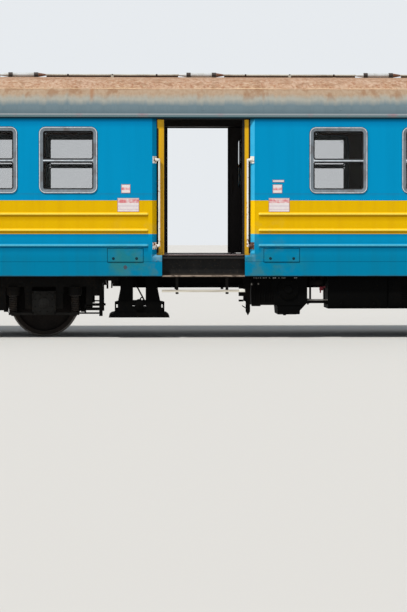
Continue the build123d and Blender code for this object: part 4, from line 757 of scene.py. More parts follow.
def leaf_trim(word, side, number, hand, lead):
    """The rubber, the pane and the inside grip of one leaf, which leads to +X by a lead of 1."""
    node = f"door_{word}_{number}_{hand}"
    body = f"leaf_{word}_{number}_{hand}"
    low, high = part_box(node)
    leaf_enamel(node + "_enamel", low, high, side).on(NODES[node])
    nose_x = high.x if lead > 0 else low.x
    pane_x = nose_x - lead * PANE_FROM_NOSE
    y0, y1 = sorted((side * DOOR_FACE, side * DOOR_BACK))
    at = (nose_x, 0, 0)
    upright = (low.z + 0.012, high.z - 0.002)
    rubbers = slabs([
        (-0.0005, 0.0024, y0 + 0.006, y1 - 0.006, *upright, 0.001, 1),
        (-NOSE_STRIP[lead], 0.0, y0 - 0.0012, y1 + 0.0012, *upright, 0.0008, 1),
    ], at, lead)
    frame_in = hoop(0.424, 2.138 + RAIL, 2.952 + RAIL, 0.1, 0.016, y0 - 0.0022, y1 - y0 + 0.0044)
    joined(node + "_rubber", [*rubbers, moved(frame_in, pane_x, 0, 0)], rubber, body)
    sheet = moved(pane(0.398, 0.788), pane_x, (y0 + y1) / 2, 2.545 + RAIL)
    joined(node + "_pane", [sheet], glass, body)
    grip_x = nose_x - lead * GRIP_FROM_NOSE
    grip_y = side * DOOR_BACK
    grip = slab(grip_x - 0.009, grip_x + 0.009, grip_y - side * 0.002, grip_y, 2.13, 2.37, 0.0008)
    pull = rod("z", (grip_x, grip_y - side * 0.003, 2.25), -0.10, 0.10, 0.002, 12)
    joined(node + "_grip", [grip, pull], bolt_steel, body)


for word, side in (("near", -1), ("far", 1)):
    for number in (1, 2):
        leaf_trim(word, side, number, "left", 1)
        leaf_trim(word, side, number, "right", -1)

# Handrails: white enamelled tube on two cast feet, screwed to the slanting jambs of each doorway.
# The enamel is chipped to rust round the feet and rubbed thin where hands hold it.
RAIL_X = 0.629
RAIL_Y = -1.403
JAMB_SLANT = math.atan2(0.055, 0.062)
CASTING_HEIGHTS = (1.319, 2.540)
white = Finish("handrail_enamel", specular_ior_level=0.4)
chip = white.noise(26.0, 6.0)
foot_zone = abs(white.z - 1.32).ramp(0.14, 0.03).either(abs(white.z - 2.54).ramp(0.12, 0.03) * 0.25)
right_foot = (white.x - white.x.sign() * DOOR_X > 0.646) * (white.z < 1.40)
rusted = ((chip - 0.60 + foot_zone * 0.10 + right_foot * 0.16) * 16.0).ramp()
worn = white.mix((white.noise(4.0, 3.0) - 0.4) * 1.5, (238, 236, 228), (206, 200, 188))
white.shade(
    base_color=white.mix(rusted, worn, white.mix(right_foot, (128, 74, 42), (86, 58, 46))),
    roughness=rusted * 0.4 + 0.3,
    normal=white.bump(rusted * -1.0, 0.3, 0.002),
)
white.on(NODES["handrails"])
fittings = []
for hand in (-1, 1):
    screw_x = hand * (0.698 - 0.012 * math.sin(JAMB_SLANT))
    screw_y = -1.3975 - 0.012 * math.cos(JAMB_SLANT)
    for z in CASTING_HEIGHTS:
        for dz in (-0.036, 0.036):
            screw = turned("y", (0, 0, 0), [(-0.004, 0.003), (-0.003, 0.007), (0.0, 0.009)], 10)
            screw.data.transform(Matrix.Rotation(-hand * JAMB_SLANT, 4, "Z"))
            fittings.append(moved(screw, screw_x, screw_y, z + dz))
        reach = sorted([(hand * RAIL_X, 0.017), (hand * 0.690, 0.024)])
        fittings.append(turned("x", (0, RAIL_Y, z), reach, 16))
joined("handrail_fittings", at_doorways(fittings), white)

# Doorway trim: a black brush seal closes each pocket beside the leaves, and a worn steel tread strip
# covers the sill. The guide rail for the leaves' shoes is let into it.
SILL = 1.157 + RAIL
SEAL_DEPTH = (-1.3700, -1.3645)
seals = slabs([
    (-0.660, 0.660, *SEAL_DEPTH, 3.082, 3.105, 0.001, 1),
    (-0.6665, -0.640, *SEAL_DEPTH, 1.186, 2.960, 0.001, 1),
    (-0.6665, -0.655, *SEAL_DEPTH, 1.186, 3.098, 0.001, 1),
    (0.644, 0.6665, *SEAL_DEPTH, 1.186, 3.098, 0.001, 1),
], (0, 0, RAIL))
joined("pocket_seals", at_doorways(seals), rubber)
tread_steel = grained(
    "worn_tread_steel", 8.0, 6.0, ((152, 134, 134), (186, 168, 164)), gain=2.4,
    rough=(0.3, 0.35), stretch=(0.5, 3, 3), metallic=0.1, specular_ior_level=0.2,
)
dots = tread_steel.noise(70.0, 3.0)
tread_steel.shade(normal=tread_steel.bump(dots * 0.4 + tread_steel.grain, 0.25, 0.003))
strips = slabs([
    (-0.588, 0.588, -1.3765, -1.3660, -0.020, -0.0005, 0.0012),
    (-0.588, 0.588, -1.309, -1.303, 0.0, 0.0075, 0.001, 1),
    (-0.588, 0.588, -1.297, -1.291, 0.0, 0.0075, 0.001, 1),
], (0, 0, SILL))
joined("sill_strips", at_doorways(strips), tread_steel)

# Steps: a folded steel riser and tread under each doorway, black paint scuffed to bare metal,
# with a pale worn nosing and rows of raised grip bars.
TREAD = 0.870 + RAIL
step_black = Finish("step_black", specular_ior_level=0.10)
scuffs = step_black.noise(3.0, 7.0, stretch=(2.2, 1, 1))
specks = step_black.noise(40.0, 5.0)
black = step_black.mix((scuffs - 0.42) * 1.8, (28, 28, 28), (50, 48, 46))
black = step_black.mix(((specks - 0.60) * 9.0).ramp() * 0.5, black, (92, 78, 66))
step_black.shade(
    base_color=step_black.mix(step_black.z.ramp(0.93, 0.895) * 0.5, black, (96, 84, 72)),
    roughness=scuffs * 0.4 + 0.4,
    normal=step_black.bump(specks * 0.5 + scuffs, 0.3, 0.004),
)
step_black.on(NODES["steps"])
nosing = grained(
    "bare_nosing", 11.0, 7.0, ((150, 134, 120), (64, 54, 48)), 0.48, 6.0,
    rough=(0.3, 0.5), relief=(0.3, 0.003), stretch=(1, 3, 3), specular_ior_level=0.3,
)
edge = slab(-0.586, 0.586, -SIDE - 0.0015, -SIDE + 0.018, TREAD - 0.018, TREAD + 0.0025, 0.002)
joined("step_nosings", at_doorways([edge]), nosing)
bar = slab(-0.013, 0.013, -0.003, 0.003, 0.0, 0.003, 0.001, 1)
grips = []
for row in range(4):
    for column in range(18):
        x = -0.55 + 0.0647 * column + 0.016 * (row % 2)
        grips.append(Vector((x, -SIDE + 0.036 + 0.024 * row, TREAD)))
bars = copies(bar, grips)
gone(bar)
joined("step_grip_bars", at_doorways([merged(bars)]), step_black)

# Footboards: weathered planks on steel brackets, hung under the treads, grey on top and edge.
# Each bracket is held by two bolts, and the right-hand end has a white cap,
# a painted highlight for its sunlit end.
BOARD = 0.660 + RAIL
BRACKET_X = (-0.376, 0.337)
board_wood = Finish("footboard_plank", specular_ior_level=0.1)
planks = board_wood.noise(2.0, 8.0, stretch=(1.0, 30, 30))
from_door = abs(board_wood.x) - DOOR_X
iron = (abs(from_door - BRACKET_X[1]) < 0.022).either(abs(from_door - BRACKET_X[0]) < 0.022)
iron = iron * (abs(board_wood.y) < SIDE - 0.002) * (board_wood.z < BOARD - 0.010)
iron = (board_wood.z < BOARD - 0.0285).either(board_wood.z > BOARD + 0.001).either(iron)
wood = board_wood.mix((planks - 0.42) * 3.4, (214, 208, 194), (128, 116, 100))
board_wood.shade(
    base_color=board_wood.mix(iron, wood, (30, 28, 27)),
    roughness=planks * 0.2 + 0.7,
    normal=board_wood.bump(planks, 0.5, 0.004),
)
board_wood.on(NODES["footboards"])
bracket_bolts = []
for x in BRACKET_X:
    for y in (-SIDE + 0.06, -SIDE + 0.10):
        bracket_bolts.append(turned("z", (x, y, BOARD), [(0.0, 0.012), (0.003, 0.011), (0.005, 0.006)], 12))
joined("footboard_bolts", at_doorways(bracket_bolts), bolt_steel)
# Painted highlight: a white cap on the right-hand end of each board stands in for its sunlit end.
cap = slab(0.508, 0.588, -SIDE - 0.0015, -SIDE + 0.030, BOARD - 0.026, BOARD + 0.014, 0.003)
joined("footboard_highlight_caps", at_doorways([cap]), white)

# Saloon surfaces: worn linoleum, a cream ceiling with round lamps, dark laminate covers and screens.
# The door gear covers are near black, painted shade for the doorway heads. Screens are edged with an
# aluminium channel. Everything is dull and dusty.
CEILING = 3.300 + RAIL
SCREEN_FROM_DOOR = 1.0


def aged(
    name, clean, dirty, scale=3.0, rough=0.5, metal=0.0, amount=0.4, relief=0.3, stretch=(1, 1, 1), gloss=0.28
):
    """A finish of a clean and a dirty tone, which meet along the edge of a broad and a fine noise."""
    finish = Finish(name, metallic=metal, specular_ior_level=gloss)
    broad = finish.noise(scale, 5.0, stretch=stretch)
    fine = finish.noise(scale * 9.0, 5.0)
    mask = ((broad * 0.65 + fine * 0.35 - 0.5) * 5.0 + amount).ramp()
    finish.colour = finish.mix(mask, clean, dirty)
    return finish.shade(
        base_color=finish.colour,
        roughness=fine * 0.3 + (rough - 0.1),
        normal=finish.bump(fine + broad * 0.5, relief, 0.004),
    )


lino = aged("floor_covering", (74, 54, 44), (44, 38, 34), 2.2, 0.55, relief=0.15)
lino.lay(abs(lino.x.every(2 * DOOR_X) - DOOR_X).ramp(0.8, 0.5) * 0.8, (150, 136, 134))
lino.lay(lino.z < 1.150 + RAIL, (24, 23, 22))
lino.lay((abs(lino.y) > 1.20) * (lino.z > 1.150 + RAIL) * 0.4, (96, 88, 84))
lino.on(NODES["floor"])
cream = aged("ceiling_paint", (196, 188, 168), (150, 138, 116), 1.2, relief=0.1)
cream.lay(cream.x.every(1.55) < 0.003, (60, 54, 48))
cream.lay(cream.z > CROWN - 0.47, (40, 38, 36))
cream.on(NODES["ceiling"])
laminate = aged("dark_laminate", (44, 28, 24), (30, 22, 20), 5.0, 0.45, relief=0.08, stretch=(1, 1, 8))
laminate.on(NODES["vestibule_screens"])
# Painted shade: the door gear covers are near black for the shade in the doorway heads.
aged("gear_cover_shade_paint", (30, 26, 24), (46, 38, 32), 2.0, relief=0.15).on(NODES["door_gear_covers"])
lamp_glass = aged("lamp_glass", (226, 222, 208), (190, 178, 150), 9.0, 0.35, relief=0.05)
lamp_ring = aged("lamp_ring", (120, 118, 112), (84, 78, 70), 12.0, 0.4, metal=0.6)
domes = []
rings = []
for i in range(-6, 7):
    at = (1.5 * i, 0, CEILING)
    domes.append(turned("z", at, [(-0.060, 0.045), (-0.050, 0.085), (-0.030, 0.112), (0.0, 0.120)], 28))
    rings.append(turned("z", at, [(-0.014, 0.128), (-0.010, 0.138), (0.0, 0.138)], 28))
joined("ceiling_lamps", domes, lamp_glass)
joined("lamp_rings", rings, lamp_ring)
edge_trim = []
for door in (-DOOR_X, DOOR_X):
    for x in (door - SCREEN_FROM_DOOR, door + SCREEN_FROM_DOOR):
        edge_trim += slabs([
            (-0.018, 0.018, -0.383, -0.369, 1.160, 3.098, 0.002),
            (-0.018, 0.018, 0.375, 0.389, 1.160, 3.098, 0.002),
            (-0.018, 0.018, -1.27, -0.39, 1.26, 1.31, 0.002, 1),
            (-0.018, 0.018, -1.27, -0.39, 2.08, 2.13, 0.002, 1),
            (-0.018, 0.018, 0.39, 1.27, 1.26, 1.31, 0.002, 1),
            (-0.018, 0.018, 0.39, 1.27, 2.08, 2.13, 0.002, 1),
        ], (x, 0, RAIL))
joined("screen_trims", edge_trim, alloy)
screws = [rod("y", (-1.25 + 0.5 * i, -1.180, 3.185 + RAIL), -0.001, 0.003, 0.007, 8) for i in range(6)]
joined("gear_cover_screws", at_doorways(screws), bolt_steel)

# Grab poles and luggage racks: chromed tube poles on round flanges, and steel shelves on brackets
# with a tube along the front lip.
RACK = 3.010 + RAIL
chrome = aged("worn_chrome", (188, 186, 182), (110, 100, 88), 7.0, 0.3, metal=0.85, amount=0.0)
chrome.on(NODES["grab_poles"])
flanges = []
for x in (-0.720, 0.720):
    for z0, z1 in ((1.157, 1.165), (3.292, 3.300)):
        flanges.append(rod("z", (x, -0.420, RAIL), z0, z1, 0.042, 20))
joined("pole_flanges", at_doorways(flanges), chrome)
rack_paint = aged("rack_paint", (86, 84, 80), (52, 46, 42), 4.0, 0.45, metal=0.2)
rack_paint.on(NODES["luggage_racks"])
rack_bits = []
for low, high in ((-9.725, -4.915), (-2.885, 2.885), (4.915, 9.725)):
    count = round((high - low) / 0.8)
    for side in (-1, 1):
        rack_bits.append(rod("x", (0, side * 0.995, RACK + 0.047), low, high, 0.009, 10))
        for i in range(count + 1):
            x = low + 0.02 + (high - low - 0.04) * i / count
            rack_bits += slabs([
                (-0.004, 0.004, side * 1.000, side * 1.284, -0.018, 0.0, 0.0015, 1),
                (-0.014, 0.014, side * 1.279, side * 1.2845, -0.060, 0.0, 0.0015, 1),
            ], (x, 0, RACK))
joined("rack_fittings", rack_bits, rack_paint)

# Seats: back-to-back benches. Padded vinyl cushions and backs, sewn in three places across, on a steel
# pedestal with a laminate shell between the backs and tube arms at the aisle.
FLOOR = 1.157 + RAIL
BENCH_Y = 0.7905
BENCH_PITCH = 1.55
SEAMS = (-BENCH_Y - 0.160, -BENCH_Y + 0.160)
vinyl = aged("seat_vinyl", (92, 42, 30), (66, 34, 26), 6.0, 0.45, relief=0.25)
vinyl_grain = vinyl.node("TexVoronoi", {"Vector": vinyl.place, "Scale": 420.0})
vinyl.shade(normal=vinyl.bump(vinyl_grain, 0.15, 0.001))


def stuffed(name, box, cap, bottom_held):
    """A cushion blown up from a block by a short cloth run, then drawn in along its sewn seams."""
    pad = slab(*box, 0.022, 3)
    pad.name = name
    finish_with(pad, "REMESH", mode="VOXEL", voxel_size=0.020)
    held = pad.vertex_groups.new(name="held")
    for vertex in pad.data.vertices:
        on_seam = any(abs(vertex.co.y - seam) < 0.011 for seam in SEAMS)
        if on_seam or bottom_held(vertex.co):
            held.add([vertex.index], 1.0, "REPLACE")
    start = [vertex.co.copy() for vertex in pad.data.vertices]
    cloth = pad.modifiers.new("Cloth", "CLOTH")
    cloth.settings.use_pressure = True
    cloth.settings.uniform_pressure_force = 4.0
    cloth.settings.vertex_group_mass = "held"
    cloth.settings.effector_weights.gravity = 0.0
    for step in range(1, 21):
        bpy.context.scene.frame_set(step)
    pick(pad)
    bpy.ops.object.modifier_apply(modifier="Cloth")
    bpy.context.scene.frame_set(1)
    for vertex, place in zip(pad.data.vertices, start):
        move = vertex.co - place
        if move.length > cap:
            vertex.co = place + move * (cap / move.length)
    return finish_with(pad, "DECIMATE", ratio=0.30)


def bench(pattern):
    """A near-side pattern drawn round X = 0, turned for both benches of every bay on both sides."""
    bays = [BENCH_PITCH * i for i in (-1, 0, 1)]
    bays += [side * (5.61 + BENCH_PITCH * i) for side in (-1, 1) for i in range(3)]
    flipped = Matrix.Translation((0, -2 * BENCH_Y, 0)) @ ROUND
    placed = []
    for x in bays:
        for turn in (Matrix.Identity(4), flipped):
            near = Matrix.Translation((x, 0, 0)) @ turn
            placed += copies(pattern, [near, Matrix.Translation((0, 2 * BENCH_Y, 0)) @ near])
    gone(pattern)
    return placed


ACROSS = (-BENCH_Y - 0.4775, -BENCH_Y + 0.4775)
seat_box = (0.062, 0.462, *ACROSS, FLOOR + 0.340, FLOOR + 0.426)
seat_pad = stuffed("seat_pad", seat_box, 0.012, lambda co: co.z < FLOOR + 0.352)
back_box = (0.012, 0.036, *ACROSS, FLOOR + 0.425, FLOOR + 0.880)
back_pad = stuffed("back_pad", back_box, 0.010, lambda co: co.x < 0.018)
cushions = joined("seat_cushions", bench(seat_pad), vinyl, angle=60)
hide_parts("seats")
backs = joined("seat_backs", bench(back_pad), vinyl, angle=60)
seat_steel = aged("seat_frame_paint", (62, 60, 58), (40, 34, 30), 6.0, 0.45, metal=0.2)
WIDE = (-0.490, 0.490)
seat_frame = slabs([
    (0.0, 0.080, *WIDE, 0.0, 0.300, 0.004),
    (0.0, 0.098, *WIDE, 0.0, 0.030, 0.004),
    (0.0, 0.470, *WIDE, 0.310, 0.338, 0.005),
    (0.440, 0.472, *WIDE, 0.300, 0.345, 0.006),
    (-0.002, 0.010, *WIDE, 0.330, 0.896, 0.003),
    (0.0, 0.030, *WIDE, 0.880, 0.898, 0.004),
    (0.078, 0.430, -0.434, -0.426, 0.250, 0.312, 0.002, 1),
    (0.078, 0.430, -0.004, 0.004, 0.250, 0.312, 0.002, 1),
    (0.078, 0.430, 0.426, 0.434, 0.250, 0.312, 0.002, 1),
], (0, -BENCH_Y, FLOOR))
ARM_Y = -BENCH_Y + 0.478
seat_frame.append(rod("x", (0, ARM_Y, FLOOR + 0.640), 0.0, 0.380, 0.010, 10))
seat_frame.append(rod("z", (0.380, ARM_Y, FLOOR), 0.330, 0.650, 0.010, 10))
joined("seat_frames", bench(merged(seat_frame)), seat_steel)

# Ends: steel end walls in the side's blue, darkened by soot, with tail lamps and corner handrails.
# Each has a hinged end door with a rubber-set window, folded black gangway walls, buffers and a drawbar.
END = 10.585
END_SILL = 2.107 + RAIL
LEAF_OUT = END - 0.024
BUFFER_Y = 0.875
BUFFER_Z = 1.060 + RAIL
end_paint = aged(
    "end_enamel", (8, 112, 156), (20, 76, 98), 1.6, 0.45, amount=0.1, relief=0.25, stretch=(1, 3, 0.6),
)
end_paint.lay(end_paint.z.ramp(1.5, 0.9) * 0.6, (50, 54, 50))
end_paint.lay(end_paint.z.ramp(3.35, 3.5) * 0.8, (150, 140, 124))
end_paint.lay(abs(end_paint.x) < END - 0.058, (120, 112, 96))
end_paint.on(NODES["end_wall_1"], NODES["end_wall_2"])
lamp_red = aged("tail_lamp_red", (150, 20, 16), (104, 16, 12), 14.0, 0.2, relief=0.05)
black_iron = aged("black_iron", (22, 21, 20), (52, 42, 34), 4.0, 0.55, metal=0.1)


def at_ends(pieces):
    """Pieces drawn on the right-hand end, put on both ends."""
    return pieces + [copies(piece, [ROUND])[0] for piece in pieces]


lamp_cases = []
lamp_lenses = []
corner_rails = []
for side in (-1, 1):
    for z in (2.95, 1.45):
        at = (END, side * 1.10, z + RAIL)
        lamp_cases.append(turned("x", at, [(0.0, 0.085), (0.030, 0.085), (0.055, 0.070), (0.060, 0.064)]))
        lamp_lenses.append(turned("x", at, [(0.050, 0.060), (0.062, 0.052), (0.070, 0.030)]))
    corner_rails.append(rod("z", (END + 0.050, side * 1.28, RAIL), 1.30, 2.55, 0.012, 12))
    for z in (1.31, 2.54):
        steps = [(0.0, 0.026), (0.006, 0.026), (0.010, 0.012), (0.052, 0.012)]
        corner_rails.append(turned("x", (END, side * 1.28, z + RAIL), steps, 12))
joined("tail_lamp_cases", at_ends(lamp_cases), black_iron)
joined("tail_lamp_lenses", at_ends(lamp_lenses), lamp_red)
joined("end_handrails", at_ends(corner_rails), white)
ladder = []
for z in (1.75, 2.15, 2.55, 2.95):
    ladder.append(rod("y", (END + 0.060, -0.85, z + RAIL), -0.13, 0.13, 0.010, 12))
    for y in (-0.98, -0.72):
        ladder.append(rod("x", (END, y, z + RAIL), 0.0, 0.062, 0.010, 10))
joined("end_ladder", at_ends(ladder), black_iron)
sockets = []
for y in (-0.80, 0.80):
    sockets += slabs([
        (0.0, 0.090, -0.075, 0.075, 1.30, 1.50, 0.010),
        (0.086, 0.100, -0.060, 0.060, 1.31, 1.48, 0.006),
    ], (END, y, RAIL))
    sockets.append(rod("y", (END + 0.094, y, 1.495 + RAIL), -0.07, 0.07, 0.008, 10))
joined("end_sockets", at_ends(sockets), black_iron)
leaf_paint = aged("end_door_enamel", (10, 104, 146), (16, 72, 92), 2.0, 0.45, amount=0.1, stretch=(1, 3, 0.5))
leaf_paint.lay(leaf_paint.z.ramp(1.5, 1.15) * 0.5, (54, 56, 50))
leaf_paint.lay(abs(leaf_paint.x) < END - 0.030, (104, 96, 84))
for number, side in ((1, -1), (2, 1)):
    body = f"end_leaf_{number}"
    leaf_paint.on(NODES[f"end_door_{number}"])
    ring = hoop(0.440, END_SILL - 0.010, END_SILL + 0.710, 0.096, 0.018, -0.0025, 0.041)
    sheet = moved(pane(0.418, 0.698), 0, 0.018, END_SILL + 0.35)
    for piece in (ring, sheet):
        piece.data.transform(Matrix.Rotation(math.radians(90 * side), 4, "Z"))
        moved(piece, side * LEAF_OUT, 0, 0)
    joined(f"end_door_{number}_rubber", [ring], rubber, body)
    joined(f"end_door_{number}_pane", [sheet], glass, body)
    handles = []
    for face, reach in ((LEAF_OUT, 1), (LEAF_OUT - 0.036, -1)):
        handles += slabs([
            (0.0, 0.004, -0.022, 0.022, 2.02, 2.22, 0.0015),
            (0.0, 0.040, -0.009, 0.009, 2.115, 2.133, 0.003),
            (0.026, 0.040, 0.0, -side * 0.120, 2.115, 2.133, 0.004),
        ], (side * face, side * 0.335, 0), side * reach)
    joined(f"end_door_{number}_handles", handles, alloy, body)
bellows = aged("gangway_bellows", (30, 30, 30), (60, 54, 46), 3.0, 0.7, relief=0.5, amount=0.2)
bellows.lay((abs(bellows.x) > END + 0.192) * 0.8, (70, 60, 52))
bellows.lay(bellows.z.ramp(1.30, 1.13) * 0.5, (84, 70, 56))
bellows.on(NODES["gangways"])
buffer_steel = aged("buffer_steel", (30, 28, 27), (66, 50, 40), 5.0, metal=0.3)
reach = ((abs(buffer_steel.y) - BUFFER_Y) ** 2.0 + (buffer_steel.z - BUFFER_Z) ** 2.0) ** 0.5
buffer_steel.lay((abs(buffer_steel.x) > END + 0.190) * reach.ramp(0.16, 0.08) * 0.8, (110, 100, 88))
buffer_steel.on(NODES["buffers"])
aged("coupler_iron", (30, 28, 27), (72, 52, 38), 6.0, 0.55, metal=0.3).on(NODES["couplers"])
end_bolts = []
for dy in (-1, 1):
    for dz in (-1, 1):
        for y in (-BUFFER_Y, BUFFER_Y):
            at = (END + 0.026, y + 0.118 * dy, BUFFER_Z + 0.118 * dz)
            end_bolts.append(rod("x", at, 0.0, 0.012, 0.016))
        end_bolts.append(rod("x", (END + 0.014, 0.070 * dy, 1.010 + RAIL + 0.070 * dz), 0.0, 0.010, 0.013))
joined("end_bolts", at_ends(end_bolts), bolt_steel)

# Roof fittings: torpedo ventilators in pale sheet metal on dark clamps, joined by a pale conduit.
# The cone on the right of each ventilator has rusted brown. Clamps and clips are screwed down.
VENT_PITCH = 2.6
VENT_X = [VENT_PITCH * (i - 3.5) for i in range(8)]
VENT_Z = CROWN - CROWN_RADIUS + math.sqrt(CROWN_RADIUS**2 - 0.330**2)
VENT_HALF = 0.327
CONDUIT_END = 10.525
vent = aged("vent_metal", (196, 200, 202), (160, 158, 150), 7.0, 0.45, metal=0.1, amount=0.2)
cell = vent.x / VENT_PITCH + 20.0
along = (cell.fraction() - 0.5) * VENT_PITCH
vent.lay(along.ramp(0.205, 0.225), (112, 78, 60))
vent.lay(abs(abs(along) - 0.186) < 0.0305, (62, 54, 50))
vent.on(NODES["ventilators"])
aged("conduit_paint", (196, 196, 186), (150, 142, 128), 9.0, stretch=(0.3, 1, 1)).on(NODES["roof_conduit"])
tabs = []
for x in VENT_X:
    for tab_x in (x - 0.186, x + 0.186):
        for y in (-0.384, -0.276):
            tabs += slabs([(-0.026, 0.026, -0.028, 0.028, -0.006, 0.004, 0.0015, 1)], (tab_x, y, VENT_Z))
            tabs.append(rod("z", (tab_x, y, VENT_Z), 0.003, 0.012, 0.010))
joined("vent_tabs", tabs, bolt_steel)
# A dark brown bar runs under the conduit between the ventilators, on small clips.
bar_brown = aged("conduit_bar_brown", (62, 44, 34), (40, 30, 26), 5.0, 0.7, stretch=(0.4, 1, 1))
bars = []
lows = [-CONDUIT_END] + [x + VENT_HALF for x in VENT_X]
highs = [x - VENT_HALF for x in VENT_X] + [CONDUIT_END]
for low, high in zip(lows, highs):
    bars.append(slab(low + 0.01, high - 0.01, -0.336, -0.324, VENT_Z - 0.004, VENT_Z + 0.020, 0.002, 1))
    count = round((high - low) / 0.65)
    for i in range(count):
        x = low + (high - low) * (i + 0.5) / count
        bars += slabs([(-0.012, 0.012, -0.347, -0.313, 0.018, 0.0465, 0.004, 1)], (x, 0, VENT_Z))
joined("conduit_bar", bars, bar_brown)

# Underframe: everything under the skirt is black paint under tar, soot and brown brake dust.
# Its near black is darker than that alone, painted shade for the dark under the coach.
# Sole bars, cross members, brake rods and pipes carry bolts, clevises and flanges.
# Near black, darker than the paint alone: painted shade for the dark under the coach, over tar, soot and
# dust.
tar_and_shade = aged("underframe_black", (11, 10, 10), (34, 28, 24), 2.4, 0.65, amount=-0.1, relief=0.4, gloss=0.06)
for node in ("sole_bars", "cross_members", "underfloor_pipes", "brake_rods", "hanging_strut"):
    tar_and_shade.on(NODES[node])
bolts = []
for side in (-1, 1):
    for i in range(13):
        for z in (0.960, 1.050):
            bolts.append(rod("y", (-10.2 + 1.7 * i, side * 1.150, z + RAIL), -0.012, 0.012, 0.015))
joined("sole_bar_bolts", bolts, tar_and_shade)
clevises = [rod("x", (0, -0.470, 0.715 + RAIL), -5.20, 5.20, 0.022, 14)]
for side in (-1, 1):
    for x in (-2.7, -0.9, 0.9, 2.7):
        at = (x, side * 0.330, 0.688 + RAIL)
        clevises.append(turned("x", at, [(-0.10, 0.019), (-0.07, 0.028), (0.07, 0.028), (0.10, 0.019)], 10))
        clevises.append(rod("x", at, 0.115, 0.135, 0.030))
joined("brake_rod_turnbuckles", clevises, tar_and_shade)

# Machine block: a cast casing with cooling ribs, two bolted round covers, feet and a drained sump.
# Compressor cradle: bolted foot and gussets, with a ribbed tank between the legs.
BLOCK_X = -DOOR_X
BOX_Y = -1.300
PIPE_Y = -1.190
TANK = (BLOCK_X - 0.9125, -1.260, 0.440 + RAIL)
COVER = (BLOCK_X + 1.215, BOX_Y, 0.670 + RAIL)
# Near black, darker than the paint alone: painted shade under the skirt over black paint.
box_black = aged(
    "equipment_black", (6, 6, 6), (16, 14, 12), 1.8, 0.6, amount=-0.1, stretch=(2, 2, 0.5), gloss=0.03,
)
for node in ("compressor_cradle", "machine_block", "equipment_case", "battery_box", "air_reservoirs"):
    box_black.on(NODES[node])
worn_edge = aged("rubbed_edges", (150, 148, 144), (84, 78, 72), 14.0, metal=0.2)


def wound(radius, wire, **screw):
    """A round bar wound about Z, from a section at +X, with its ends closed."""
    clear()
    bpy.ops.mesh.primitive_circle_add(vertices=10, radius=wire, rotation=(math.radians(90), 0, 0))
    bar = bpy.context.object
    bpy.ops.object.transform_apply(rotation=True)
    finish_with(moved(bar, radius, 0, 0), "SCREW", steps=20, render_steps=20, **screw)
    edit()
    bpy.ops.mesh.fill_holes(sides=12)
    close()
    return bar


def arc(radius, wire, sweep):
    """A bent round bar, upright in X and Z round the origin. A sweep of 180 hangs down like a U."""
    turn = math.radians(sweep)
    bar = wound(radius, wire, angle=turn, screw_offset=0.0, iterations=1, use_merge_vertices=True)
    bar.data.transform(Matrix.Rotation(math.radians(-90), 4, "X"))
    return bar


def rods(axis, rows, at=(0, 0, 0), flip=1):
    """Round pieces from a table of place, low and high end, radius and sides, moved and mirrored as slabs."""
    return [rod(axis, (at[0] + flip * x, at[1] + y, at[2] + z), *size) for x, y, z, *size in rows]


FACE = (BLOCK_X, BOX_Y, RAIL)
block = slabs([
    *[(0.696 + 0.036 * i, 0.704 + 0.036 * i, -0.012, 0.005, 0.500, 0.850, 0.0015, 1) for i in range(9)],
    (1.040, 1.455, -0.010, 0.010, 0.440, 0.462, 0.003, 1),
    (0.692, 0.819, 0.0, 0.10, 0.427, 0.444, 0.003, 1),
    (0.700, 0.760, -0.010, 0.02, 0.860, 0.905, 0.004, 1),
    (1.420, 1.480, -0.010, 0.02, 0.860, 0.905, 0.004, 1),
    (1.290, 1.386, 0.03, 0.30, 0.309, 0.440, 0.014),
], FACE)
block.append(turned("y", COVER, [(-0.020, 0.135), (-0.014, 0.150), (0.0, 0.150)], 32))
block.append(turned("y", COVER, [(-0.034, 0.054), (-0.028, 0.060), (0.0, 0.060)], 32))
for i in range(10):
    turn = 2 * math.pi * i / 10
    block += rods("y", [(0.128 * math.cos(turn), -0.020, 0.128 * math.sin(turn), -0.008, 0.0, 0.010)], COVER)
block += rods("z", [(1.075 + 0.055 * i, 0.010, 0.440, -0.012, 0.030, 0.010) for i in range(7)], FACE)
block += rods("z", [(1.180, 0.240, 0.308, -0.020, 0.0, 0.024)], FACE)
joined("block_fittings", block, box_black)
WORN_STRIPS = ((0.715, 0.800), (0.845, 0.875), (0.985, 1.030), (1.115, 1.180), (1.300, 1.340))
worn = slabs([(x0, x1, -0.006, 0.004, 0.826, 0.838, 0.002, 1) for x0, x1 in WORN_STRIPS], FACE)
worn += rods("y", [
    (0.693, 0.0, 0.741, -0.010, 0.0, 0.016),
    (0.785, 0.0, 0.747, -0.010, 0.0, 0.014),
    *[(0.765 + 0.044 * i + 0.008 * (i % 3), 0.0, 0.832, -0.010, 0.0, 0.010) for i in range(9)],
], FACE)
worn.append(rod("x", (BLOCK_X + 1.636, PIPE_Y - 0.055, 0.516 + RAIL), -0.149, 0.149, 0.011, 12))
joined("block_bolts", worn, worn_edge)
CRADLE = (BLOCK_X, 0, RAIL)
cradle = slabs([
    (-1.264, -1.240, -1.250, -1.190, 0.468, 0.492, 0.004, 1),
    (-0.578, -0.554, -1.250, -1.190, 0.468, 0.492, 0.004, 1),
    (-1.0145, -0.9745, -1.245, -1.236, 0.436, 0.472, 0.003, 1),
    (-0.8505, -0.8105, -1.245, -1.236, 0.436, 0.472, 0.003, 1),
    (-1.250, -1.218, -1.245, -1.236, 0.368, 0.408, 0.003, 1),
    (-0.600, -0.568, -1.245, -1.236, 0.368, 0.408, 0.003, 1),
], CRADLE)
for x in (-1.200, -1.020, -0.800, -0.620):
    steps = [(-0.002, 0.013), (0.003, 0.013), (0.004, 0.009), (0.016, 0.009)]
    cradle.append(turned("z", (BLOCK_X + x, -1.255, 0.335 + RAIL), steps, 6))
